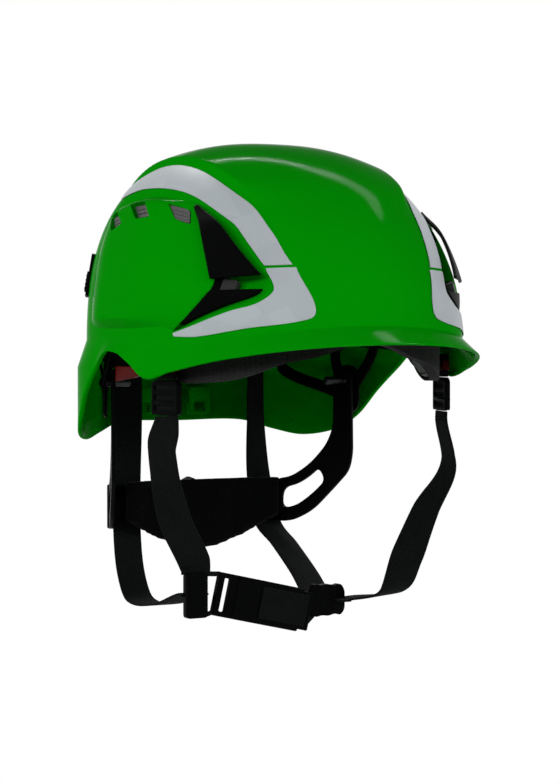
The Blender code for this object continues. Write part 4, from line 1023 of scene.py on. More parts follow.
@dataclass
class Shell:
    """The green shell: brim, ear arches, raised crown panel, socket recesses, pods and vents."""

    shop: Workshop
    dome: Dome
    columns: int = 288
    dome_rows: int = 88
    rim_rows: int = 16
    rim_heights: tuple = (
        (0, 0.018), (24, 0.016), (48, 0.0102), (66, 0.0035), (77, -0.0005), (85, 0.0085), (94, 0.0145),
        (101, 0.003), (109, -0.011), (116, -0.0255), (124, -0.035), (137, -0.0395), (148, -0.036),
        (160, -0.03), (180, -0.03),
    )
    crease_heights: tuple = (
        (0, 0.029), (20, 0.0275), (40, 0.024), (60, 0.02), (77, 0.019), (94, 0.0225), (109, 0.0225),
        (124, 0.021), (137, 0.019), (160, 0.016), (180, 0.016),
    )
    flare_reach: tuple = (
        (0, 0.0145), (24, 0.013), (48, 0.0093), (66, 0.006), (77, 0.0042), (90, 0.0042), (105, 0.005),
        (120, 0.0054), (140, 0.005), (160, 0.004), (180, 0.0036),
    )
    flare_drop: float = 0.016
    panel_lift: float = 0.0034
    panel_gap: float = 0.0002
    panel_step: float = 0.0055
    panel_fade: float = 0.016
    panel_edge: tuple = (
        (0.11, 0.06), (0.085, 0.1), (0.062, 0.112), (0.025, 0.1215), (-0.016, 0.1175), (-0.057, 0.098),
        (-0.0767, 0.0805), (-0.0915, 0.062),
    )
    recess_rim: tuple = (
        (0.06, 0.1035), (0.02, 0.1075), (-0.0235, 0.103), (-0.058, 0.0858), (-0.0825, 0.0612),
        (-0.0897, 0.0485), (-0.0862, 0.042), (-0.0765, 0.038), (-0.0575, 0.03), (-0.0455, 0.0258),
    )
    recess_foot: tuple = (
        (0.06, 0.0995), (0.02, 0.1005), (-0.02, 0.099), (-0.0535, 0.0848), (-0.0745, 0.0642),
        (-0.0852, 0.05), (-0.0825, 0.0462), (-0.0735, 0.0413), (-0.056, 0.033), (-0.0455, 0.0268),
    )
    recess_spine: tuple = (
        (0.06, 0.085), (0.02, 0.085), (-0.01, 0.085), (-0.02, 0.075), (-0.03, 0.065),
        (-0.035, 0.055), (-0.035, 0.05), (-0.033, 0.045), (-0.03, 0.038), (-0.03, 0.032),
    )
    recess_depth: float = 0.0048
    recess_cover: float = 0.008
    backing_wall: float = 0.0028
    backing_lifts: tuple = (-0.004, -0.0016)
    pod_front: tuple = (
        (-0.036, 0.098), (-0.0525, 0.076), (-0.0655, 0.0535), (-0.0575, 0.038), (-0.044, 0.026),
    )
    pod_rear: tuple = ((0.062, 0.098), (0.066, 0.076), (0.066, 0.054), (0.064, 0.036), (0.062, 0.026))
    pod_lift: float = 0.005
    pod_sink: float = 0.0008
    pod_arch: tuple = (0.0, 0.0016, 0.003, 0.004, 0.0043, 0.0038, 0.0025, 0.0006, -0.002, -0.005, -0.0085)
    vents: tuple = (
        ((0.042, 0.0918), (0.031, 0.0938), (0.0165, 0.0863), (0.028, 0.0823)),
        ((0.017, 0.0973), (0.000, 0.098), (-0.012, 0.0887), (0.0003, 0.0879)),
        ((-0.019, 0.0968), (-0.036, 0.0928), (-0.041, 0.0847), (-0.03, 0.0876)),
    )
    vent_radius: float = 0.0022
    vent_lifts: tuple = (-0.009, 0.011)
    tab_places: tuple = (-0.03, -0.009, 0.012)
    tab_size: tuple = (0.015, 0.0175)
    tab_slot: tuple = (0.0085, 0.0062)
    tab_thickness: float = 0.0036

    def outer(self, turns: Array) -> Array:
        """Return the outer face's points as (row, column), from the rim to below the crown."""
        rim, crease = height_at(self.rim_heights, turns), height_at(self.crease_heights, turns)
        rim = rim + self.dome.WALL / 2
        flare = height_at(self.flare_reach, turns)
        drop = np.minimum(crease - rim, self.flare_drop)
        rows = []
        for share in np.linspace(0, 1, self.rim_rows, endpoint=False):
            z = rim + (crease - rim) * share
            base = self.dome.at_turn(turns, z)
            out = self.dome.normal(base * np.array((1.0, 1.0, 0.0)))
            rows.append(base + out * (flare * np.minimum((crease - z) / drop, 1.0))[:, None])
        for row in range(self.dome_rows):
            share = math.sin(row / self.dome_rows * math.pi / 2)
            rows.append(self.raised(self.dome.at_turn(turns, crease + (self.dome.CROWN_Z - crease) * share)))
        return np.array(rows)

    def raised(self, points: Array) -> Array:
        """Lift the shoulder along the films' outer edge, which fades to the crown, the front and the rear."""
        edge = through(self.panel_edge, 160)
        gap = line_distance(points[:, 1:], edge)
        inside = gap * line_distance(np.array(((0.0, self.dome.CROWN_Z),)), edge)[0] > 0
        ridge = np.concatenate([self.dome.at_side(edge, side) for side in Side])
        near = np.min(np.linalg.norm(points[:, None] - ridge[None], axis=2), axis=1) - self.panel_gap
        share = inside * smooth(near / self.panel_step)
        share = share * np.exp(-np.maximum(near - self.panel_step, 0.0) / self.panel_fade)
        share = share * smooth((points[:, 2] - 0.094) / 0.016) * smooth((0.085 - points[:, 1]) / 0.05)
        return self.dome.lifted(points, self.panel_lift * share)

    def wall(self) -> Piece:
        """Make the plain wall with a rounded rim."""
        turns = np.linspace(0, 2 * math.pi, self.columns, endpoint=False)
        outer = self.outer(turns)
        half = self.dome.WALL / 2
        out = self.dome.normal(outer)
        inner = outer - out * self.dome.WALL
        down = unit(outer[0] - outer[1])
        lip = []
        for angle in np.linspace(0, math.pi, 9)[1:-1]:
            lip.append(outer[0] - out[0] * half + (out[0] * math.cos(angle) + down * math.sin(angle)) * half)
        rows = np.concatenate((outer[::-1], np.array(lip), inner))
        points = rows.reshape(-1, 3)
        crown = np.array((0.0, self.dome.CROWN_SHIFT, self.dome.CROWN_Z))
        points = np.concatenate((points, [crown, crown - UP * self.dome.WALL]))
        faces = grid_faces(len(rows), self.columns, closed=True)
        last, top = (len(rows) - 1) * self.columns, len(points) - 2
        for column in range(self.columns):
            after = (column + 1) % self.columns
            faces.append((column, after, top))
            faces.append((last + column, last + after, top + 1))
        return mesh_piece("shell_visual", points, faces)

    def recess_lines(self, count: int) -> list:
        """Return the recess's rim, foot and spine as points of the side view."""
        return [through(edge, count) for edge in (self.recess_rim, self.recess_foot, self.recess_spine)]

    def recess(self, side: Side) -> Piece:
        """Make the cutter of the socket's recess, whose rim is a slanted wall."""
        rim, foot, spine = self.recess_lines(90)
        points = self.dome.at_side(np.stack((rim + (rim - foot) * 0.5, rim, foot, spine), axis=1), side)
        deep = self.recess_depth * smooth(np.linspace(0, 1, len(rim)) / 0.16)[:, None]
        low = 0.0005 * (deep < 1e-5) + deep * np.array((0.5, 0.0, -1.0, -1.0))
        return plate("recess", self.dome.lifted(points, low), self.dome.lifted(points, self.recess_cover))

    def backing(self, side: Side) -> Piece:
        """Make the wall behind the socket's recess, inside the shell."""
        rim, foot, spine = self.recess_lines(60)
        places = np.stack((rim + (rim - foot) * 0.2, foot, (foot + spine) / 2, spine), axis=1)
        points = self.dome.at_side(places, side)
        border, high = self.backing_lifts
        floor = -self.recess_depth - self.backing_wall
        low = np.broadcast_to((border, floor, floor, border), places.shape[:2])
        return plate("backing", self.dome.lifted(points, low), self.dome.lifted(points, high))

    def pod(self, side: Side) -> Piece:
        """Make the raised pod: a crisp front edge, a rounded top lip, and a soft rear and foot."""
        across = np.concatenate(((0.0, 0.004, 0.01, 0.02, 0.035), np.linspace(0.06, 1.0, 34)))
        along = np.concatenate(((0.0, 0.006, 0.014, 0.026, 0.042), np.linspace(0.065, 1.0, 34)))
        places = self.dome.between((self.pod_front, self.pod_rear), across, along)
        share_across, share_along = np.meshgrid(across, along)
        arch = np.interp(across, np.linspace(0, 1, len(self.pod_arch)), self.pod_arch)
        places[..., 1] += arch[None, :] * (1 - share_along) ** 2
        front = 0.18 + 0.14 * rounded_start(share_across, 0.03) + 0.68 * smooth(share_across / 0.38)
        top = 0.25 + 0.75 * rounded_start(share_along, 0.075)
        rear = smooth((1 - share_across) / 0.34)
        foot = smooth((1 - share_along) / 0.13)
        lift = (self.pod_lift + self.pod_sink) * front * top * rear * foot - self.pod_sink
        points = self.dome.at_side(places, side)
        low = -0.0027 - 0.0033 * (1 - smooth(share_across / 0.4)) * foot
        return plate("pod", self.dome.lifted(points, low), self.dome.lifted(points, lift))

    def rear_tabs(self) -> list:
        """Make the slotted tabs on the inside of the rear wall."""
        tabs = []
        slot = oblong(*self.tab_slot, 0.0012, (0.0, -0.0035))
        for x in self.tab_places:
            turn = math.pi - math.copysign(abs(x) / self.dome.HALF_WIDTH, x)
            wall = self.dome.at_turn(np.array(turn), np.array(-0.018))
            frame = upright((x, wall[1] - self.dome.WALL - 0.0016, -0.0175))
            tabs.append(stamped(oblong(*self.tab_size, 0.0025), [slot], self.tab_thickness, frame, 0.0008))
        return tabs

    def build(self) -> None:
        """Make and dress the shell."""
        body = self.wall()
        vents = [self.dome.prism(corners, side, self.vent_radius, self.vent_lifts)
                 for side in Side for corners in self.vents]
        carve(body, merged("backings", [self.backing(side) for side in Side]), "UNION")
        carve(body, merged("recesses", [self.recess(side) for side in Side]), "DIFFERENCE")
        carve(body, merged("pods", [self.pod(side) for side in Side]), "UNION")
        carve(body, merged("vents", vents), "DIFFERENCE")
        self.shop.assemble("shell", "green_gloss", [body, *self.rear_tabs()], sharp=28.0)


@dataclass
class SideTrim:
    """What is fixed outside on one side: films, accessory socket, lamp clip and vent screen."""

    shop: Workshop
    dome: Dome
    side: Side
    film_gap: float = 0.00045
    film_thickness: float = 0.0003
    upper_film: tuple = (
        Shell.panel_edge[2:],
        ((0.058, 0.1045), (0.02, 0.1083), (-0.024, 0.1037), (-0.059, 0.0865), (-0.0727, 0.0738),
         (-0.0835, 0.0615)),
    )
    lower_film: tuple = (
        ((-0.093, 0.0605), (-0.1035, 0.0415), (-0.1045, 0.0325), (-0.085, 0.0275), (-0.062, 0.0232),
         (-0.047, 0.0232)),
        ((-0.0845, 0.06), (-0.091, 0.048), (-0.087, 0.041), (-0.077, 0.037), (-0.058, 0.029),
         (-0.046, 0.025)),
    )
    blade_edges: tuple = (
        ((-0.0375, 0.096), (-0.0562, 0.0838), (-0.0738, 0.067), (-0.0855, 0.0545)),
        ((-0.0365, 0.0945), (-0.0475, 0.083), (-0.058, 0.067), (-0.065, 0.0535)),
    )
    blade_thickness: float = 0.0018
    wedge_edges: tuple = (
        ((-0.0868, 0.0492), (-0.084, 0.0456), (-0.0733, 0.0408), (-0.06, 0.0345), (-0.05, 0.03)),
        ((-0.0655, 0.048), (-0.0635, 0.0455), (-0.061, 0.042), (-0.0565, 0.037), (-0.049, 0.0305)),
    )
    root_edges: tuple = (((-0.041, 0.092), (-0.053, 0.08)), ((-0.0375, 0.093), (-0.048, 0.08)))
    heel_edges: tuple = (((-0.069, 0.056), (-0.07, 0.047)), ((-0.0615, 0.056), (-0.062, 0.047)))
    socket_floor: float = -0.0046
    tongue_place: tuple = (-0.0732, 0.0502)
    lamp_place: tuple = (0.0825, 0.06)
    screen_reach: tuple = (-0.043, 0.042)
    screen_heights: tuple = (0.0825, 0.1025)
    screen_lifts: tuple = (-0.0092, -0.0086)
    plug_share: float = 0.93
    plug_lifts: tuple = (-0.0088, 0.0018)
    slat_shares: tuple = (0.25, 0.5, 0.75)

    def film(self, place: str, edges: tuple) -> None:
        """Make and dress one film."""
        low, high = flat(self.film_gap), flat(self.film_gap + self.film_thickness)
        name = f"film_{place}_{self.side.word}"
        piece = self.dome.patch(edges, self.side, low, high, (11, 81), name)
        self.shop.dress(piece, "silver_film", f"reflective_strip_{place}_{self.side.word}")

    @staticmethod
    def stand_off(across: Array, along: Array) -> Array:
        """Return the lift of the blade's inner face, which is flat and stands off at its foot."""
        return 0.0002 + 0.0028 * smooth(along / 0.45) + 0.0022 * (1 - across) * along**2

    def socket(self) -> None:
        """Make and dress the accessory socket: a standing blade, its root rib, a tongue and a lower wedge."""
        floor = flat(self.socket_floor)
        parts = [
            self.dome.patch(self.blade_edges, self.side, self.stand_off,
                            lambda across, along: self.stand_off(across, along) + self.blade_thickness),
            self.dome.patch(self.root_edges, self.side, floor, flat(0.0004)),
            self.dome.patch(self.heel_edges, self.side, floor, flat(-0.0006)),
            self.dome.patch(self.wedge_edges, self.side, floor,
                            lambda across, along: -0.0004 + 0.0024 * across * (1 - along)),
        ]
        parts = [eased(part, 0.0005, 2, 40.0) for part in parts]
        frame = self.dome.frame_at(self.tongue_place, self.side, -0.0022)
        tongue = stamped(oblong(0.0085, 0.009, 0.0012), [], 0.005, frame, 0.0005)
        parts.append(self.shop.paint(tongue, "dark_moulded"))
        word = self.side.word
        self.shop.assemble(f"accessory_socket_{word}", "black_moulded", parts, f"socket_{word}")

    def lamp_clip(self) -> None:
        """Make and dress the lamp clip: a flat base with a finger notch, a raised hook and grip ribs."""
        low, middle, high = (self.dome.frame_at(self.lamp_place, self.side, lift)
                             for lift in (0.0004, 0.0018, 0.0024))
        notch = oblong(0.0075, 0.0035, 0.0014, (0.0, -0.0085))
        base = stamped(oblong(0.014, 0.026, 0.003), [notch], 0.0022, low, 0.0006)
        hook = stamped(oblong(0.01, 0.0125, 0.003, (0.0, 0.004)), [], 0.0014, middle, 0.0005)
        ribs = np.array([high @ Vector((0.0, 0.0005 + 0.0026 * step, 0.0)) for step in range(4)])
        grip = self.shop.row(Repeat.RIB, "black_moulded", ribs, high.col[0][:3], high.col[2][:3],
                             (0.0072, 0.0009, 0.0007))
        word = self.side.word
        parts = [base, hook, grip]
        self.shop.assemble(f"lamp_clip_{word}", "black_moulded", parts, f"lamp_clip_visual_{word}")

    def screen(self) -> None:
        """Make and dress the screen: a plug in each vent, with slats, joined by a thin back."""
        edges = [[(y, z) for z in self.screen_heights] for y in self.screen_reach]
        back = [flat(lift) for lift in self.screen_lifts]
        parts = [self.dome.patch(edges, self.side, *back, (41, 9))]
        spots = []
        for corners in np.array(Shell.vents):
            middle = corners.mean(axis=0)
            inset = middle + (corners - middle) * self.plug_share
            parts.append(self.dome.prism(inset, self.side, 0.002, self.plug_lifts))
            for share in self.slat_shares:
                low = corners[0] + (corners[3] - corners[0]) * share
                high = corners[1] + (corners[2] - corners[1]) * share
                spots += [low + (high - low) * step for step in self.slat_shares]
        points = self.dome.at_side(np.array(spots), self.side)
        out = self.dome.normal(points)
        along = unit(BACK - out * out[:, 1:2])
        parts.append(self.shop.row(Repeat.RIB, "grey_moulded", points + out * self.plug_lifts[1], along, out,
                                   (0.0034, 0.0009, 0.0004)))
        word = self.side.word
        self.shop.assemble(f"vent_screen_{word}", "grey_moulded", parts, f"vent_screen_visual_{word}")

    def build(self) -> None:
        """Make everything on this side."""
        self.film("upper", self.upper_film)
        self.film("lower", self.lower_film)
        self.socket()
        self.lamp_clip()
        self.screen()


# Padding


def swollen(piece: Piece, voxel: float, held: Array, reach: float, cap: float, pressure: float = 4.0,
            frames: int = 20) -> Piece:
    """Swell a closed pad with a short cloth run, so that it looks stuffed.

    Args:
        piece: The plain closed pad.
        voxel: Size of the new mesh's faces.
        held: Points of the face that is fixed to something.
        reach: Points nearer than this to a held point stay where they are.
        cap: The farthest that a point may move.
        pressure: Air pressure inside.
        frames: How many frames to run.

    Returns:
        The swollen pad.
    """
    step = piece.modifiers.new("even", "REMESH")
    step.mode = "VOXEL"
    step.voxel_size = voxel
    settle(piece)
    rest = np.array([vertex.co for vertex in piece.data.vertices])
    gap = np.array([np.min(np.linalg.norm(held - point, axis=1)) for point in rest])
    group = piece.vertex_groups.new(name="held")
    group.add([int(index) for index in np.nonzero(gap < reach)[0]], 1.0, "REPLACE")
    cloth = piece.modifiers.new("cloth", "CLOTH")
    cloth.settings.vertex_group_mass = "held"
    cloth.settings.use_pressure = True
    cloth.settings.uniform_pressure_force = pressure
    cloth.settings.effector_weights.gravity = 0.0
    scene = bpy.context.scene
    cloth.point_cache.frame_end = frames
    for frame in range(1, frames + 1):
        scene.frame_set(frame)
    settle(piece)
    scene.frame_set(1)
    moved = np.array([vertex.co for vertex in piece.data.vertices]) - rest
    length = np.linalg.norm(moved, axis=1, keepdims=True)
    moved = moved * np.minimum(1.0, cap / np.maximum(length, 1e-9))
    piece.data.vertices.foreach_set("co", (rest + moved).ravel())
    piece.vertex_groups.clear()
    round_off = piece.modifiers.new("round", "SMOOTH")
    round_off.factor = 0.5
    round_off.iterations = 4
    finer = piece.modifiers.new("finer", "SUBSURF")
    finer.levels = finer.render_levels = 1
    return settle(piece)


# Suspension


@dataclass
class Suspension:
    """The band, pads, hangers and straps that carry the shell on the head."""

    shop: Workshop
    dome: Dome
    band_half_width: float = 0.089
    band_front_reach: float = 0.1
    band_rear_reach: float = 0.4
    band_thickness: float = 0.0016
    band_height: float = 0.022
    band_end_height: float = 0.012
    band_bottom: tuple = ((0, 0.011), (35, 0.009), (68, 0.001), (90, 0.01), (110, 0.012))
    band_lower: tuple = (
        (0, 0.021), (10, 0.0185), (20, 0.0135), (32, 0.0095), (45, 0.0025), (57, -0.0005), (70, -0.0005),
        (84, 0.006), (92, 0.015), (110, 0.018),
    )
    band_end_y: float = 0.05
    pad_gap: float = 0.0004
    pad_thickness: float = 0.006
    pad_end_turn: float = 81.0
    pad_margin: float = 0.0016
    pad_tip: float = 0.0085
    pad_swell: float = 0.45
    hem_height: float = 0.0013
    crown_depth: float = 0.012
    crown_sag: tuple = ((0.3, 0.55), (0.65, 0.85))
    crown_ends: tuple = (
        ("front", 0, 0.04), ("rear", 180, 0.016), ("right", -90, 0.042), ("left", 90, 0.042),
    )
    crown_strap_width: float = 0.018
    crown_strap_thickness: float = 0.0012
    crown_layer_gap: float = 0.0009
    crown_pad_gap: float = 0.0026
    crown_pad_radius: float = 0.03
    crown_pad_thickness: float = 0.008
    crown_pad_profile: tuple = ((0.06, 0.55), (0.375, 0.88), (0.625, 0.97), (0.875, 0.9), (0.96, 0.6))
    key_seat: float = 0.003
    seat_gap: float = 0.0003
    joint_drop: float = 0.0105
    link_size: tuple = (0.018, 0.03)
    link_bore: float = 0.0029
    hanger_thickness: float = 0.0016
    hanger_ends: tuple = ((105, 0.024), (121, 0.018), (143, 0.012))
    ribbon_width: float = 0.0072

    @property
    def band_end(self) -> float:
        """The angle of the band's ends from the front."""
        return math.acos(-self.band_end_y / self.band_rear_reach)

    def band_plan(self, turns: Array, inset: float) -> Array:
        """Return the plan of the band's outer face, moved in by an inset."""
        sine, cosine = np.sin(turns), np.cos(turns)
        reach = np.where(cosine > 0, self.band_front_reach, self.band_rear_reach)
        return np.stack(((self.band_half_width - inset) * sine, -(reach - inset) * cosine), axis=-1)

    def band_heights(self, turns: Array) -> tuple:
        """Return the band's lower and upper edge by angle."""
        bottom = height_at(self.band_bottom, turns)
        taper = smooth((np.abs(turns) / self.band_end - 0.6) / 0.4)
        top = bottom + self.band_height + (self.band_end_height - self.band_height) * taper
        return height_at(self.band_lower, turns), top

    def strip(self, name: str, turns: Array, edges: tuple, inset: float, thickness: float,
              swell: float = 0.0) -> Piece:
        """Make a strip along the band's plan, thicker along its middle by a swell."""
        bottom, top = edges
        shares = np.linspace(0, 1, 9)
        rise = (bottom[:, None] + (top - bottom)[:, None] * shares)[..., None]
        thick = thickness * (1 - swell * np.abs(2 * shares - 1) ** 3)
        outer = np.repeat(self.band_plan(turns, inset)[:, None], len(shares), axis=1)
        inner = np.stack([self.band_plan(turns, inset + depth) for depth in thick], axis=1)
        low, high = (np.concatenate((face, rise), axis=-1) for face in (inner, outer))
        return plate(name, low, high)

    def headband(self) -> None:
        """Make and dress the band."""
        turns = np.linspace(-self.band_end, self.band_end, 121)
        band = self.strip("headband_visual", turns, self.band_heights(turns), 0.0, self.band_thickness)
        self.shop.dress(eased(band, 0.0005), "black_moulded", "headband_front")

    def brow_pad(self) -> None:
        """Make and dress the stuffed pad on the band, its fold over the band's face and its hem."""
        end = math.radians(self.pad_end_turn)
        turns = end * np.sin(np.linspace(-1, 1, 121) * math.pi / 2)
        bottom, top = self.band_heights(turns)
        tip = 1 - np.sqrt(1 - np.clip((np.abs(turns) / end - 0.84) / 0.16, 0, 1) ** 2)
        margin = self.pad_margin - self.pad_tip * tip
        low, high = bottom - margin, top + margin
        inset = self.band_thickness + self.pad_gap
        thickness = self.pad_thickness - 0.0006
        pad = self.strip("pad", turns, (low + 0.0012, high), inset, thickness, self.pad_swell)
        back = np.concatenate((self.band_plan(turns, inset), ((low + high) / 2)[:, None]), axis=-1)
        held = np.concatenate([back + UP * lift for lift in (-0.009, -0.004, 0.0, 0.004, 0.009)])
        pad = swollen(pad, 0.0022, held, 0.0028, 0.0012)
        fold = self.strip("fold", turns, (low, high), -0.0014, 0.0011)
        hem = self.strip("hem", turns, (low, low + self.hem_height), -0.0013, inset + 0.004)
        # The fold and the hem take the darker spacer, whose colour is partly painted shade of the brim's
        # shadow.
        layers = [self.shop.paint(eased(part, 0.0004), "shade_darkened_spacer") for part in (fold, hem)]
        pad = self.shop.assemble("brow_pad", "grey_spacer", [pad, *layers])
        self.brow_stitches(turns, (low, high), inset)

    def brow_stitches(self, turns: Array, edges: tuple, inset: float) -> None:
        """Make the seam along the brow pad's edges."""
        fine = np.linspace(turns[0] * 0.97, turns[-1] * 0.97, 230)
        plan = self.band_plan(fine, inset + self.pad_thickness * 0.8)
        lines = [np.concatenate((plan, (np.interp(fine, turns, edge) + lift)[:, None]), axis=-1)
                 for edge, lift in zip(edges, (0.0042, -0.0042))]
        along = np.concatenate([unit(np.gradient(line, axis=0)) for line in lines])
        out = unit(np.cross(along, UP))
        size = (0.0011, 0.0005, 0.0005)
        self.shop.stitches("brow_stitches", np.concatenate(lines), along, out, size=size, unevenness=0.12)

    def crown_leg(self, turn: float, z: float, seat: float) -> list:
        """Return the points of half a crown strap, from its key up."""
        leg = [self.dome.inside(turn, z - 0.004, seat)]
        for rise, sag in self.crown_sag:
            height = z + rise * (self.dome.CROWN_Z - z)
            leg.append(self.dome.inside(turn, height, seat + self.crown_depth * sag))
        return leg

    def crown(self) -> None:
        """Make and dress the crown straps and their keys."""
        ends = {name: place for name, *place in self.crown_ends}
        half = self.crown_strap_thickness / 2
        seat = self.key_seat + self.seat_gap + half
        section = strap_profile(self.crown_strap_width, self.crown_strap_thickness)
        tacks = []
        under = self.crown_strap_thickness + self.crown_layer_gap
        routes = (("long", "front", "rear", (1.0, 0.0, 0.0), 0.0),
                  ("cross", "right", "left", (0.0, 1.0, 0.0), under))
        for name, first, last, across, layer in routes:
            legs = [self.crown_leg(*ends[key], seat) for key in (first, last)]
            top_z = self.dome.CROWN_Z - self.dome.WALL - self.crown_depth - layer - half
            top = np.array((0.0, self.dome.CROWN_SHIFT, top_z))
            frames = strap_frames(legs[0] + [top] + legs[1][::-1], [across], 90)
            strap = swept(f"crown_strap_{name}_visual", *frames, section)
            self.shop.dress(strap, "black_web", f"crown_strap_{name}")
            tacks += [tuple(part[index] for part in frames) for index in (6, 9, 80, 83)]
        self.shop.tacks("crown_stitches", tacks, 0.0075, 9, self.crown_strap_thickness)
        for name in ends:
            self.shop.fitting(f"crown_key_{name}", "black_fitting", 0.0005)

    def crown_pad(self) -> None:
        """Make and dress the round pad under the crown straps."""
        straps = 2 * self.crown_strap_thickness + self.crown_layer_gap
        roof = self.dome.CROWN_Z - self.dome.WALL - self.crown_depth - straps - self.crown_pad_gap
        profile = [(self.crown_pad_thickness * deep, self.crown_pad_radius * wide)
                   for deep, wide in self.crown_pad_profile]
        centre = np.array((0.0, self.dome.CROWN_SHIFT, roof))
        pad = lathe("crown_pad_visual", centre, (0, 0, -1), profile, 48)
        grid = np.linspace(-0.02, 0.02, 9)
        held = np.array([centre + np.array((x, y, 0.0)) for x in grid for y in grid])
        pad = swollen(pad, 0.0022, held, 0.0035, 0.0006)
        self.shop.dress(pad, "grey_spacer", "crown_pad")

    def hanger(self, side: Side) -> None:
        """Make and dress a hanger: a link on the pivot, and three ribbons from its foot to the keys."""
        sign = side.value
        out = np.array((sign * math.cos(HUB_TURN), math.sin(HUB_TURN), 0.0))
        hub = np.array((sign * PIVOT[0], *PIVOT[1:])) + out * 0.0003
        link = oblong(*self.link_size, 0.0085, (0.0, -0.0055))
        parts = [stamped(link, [circle(self.link_bore)], self.hanger_thickness,
                         framed(hub, np.cross(out, UP), UP), 0.0005)]
        joint = hub - UP * self.joint_drop
        section = strap_profile(self.ribbon_width, self.hanger_thickness)
        for turn, z in self.hanger_ends:
            depth = self.key_seat + 0.0018
            low, high = (self.dome.inside(sign * turn, z + rise, depth) for rise in (-0.009, 0.005))
            aim = low - joint
            aim = unit(aim - out * (aim @ out))
            knee = joint + aim * 0.0125 + out * 0.001
            wall = self.dome.normal(self.dome.at_turn(np.array(math.radians(sign * turn)), np.array(z)))
            across = (np.cross(out, aim), np.cross(wall, UP))
            frames = strap_frames((joint + aim * 0.003, knee, low, high), across, 24)
            parts.append(swept("ribbon", *frames, section))
        self.shop.assemble(f"side_hanger_{side.word}", "black_moulded", parts)

    def build(self) -> None:
        """Make the whole suspension."""
        self.headband()
        self.brow_pad()
        self.crown()
        self.crown_pad()
        for side in Side:
            self.hanger(side)
            for place in ("front", "middle", "rear"):
                self.shop.fitting(f"hanger_key_{place}_{side.word}", "black_fitting", 0.0005)
            self.shop.fitting(f"pivot_pin_{side.word}", "black_steel", 0.0005)


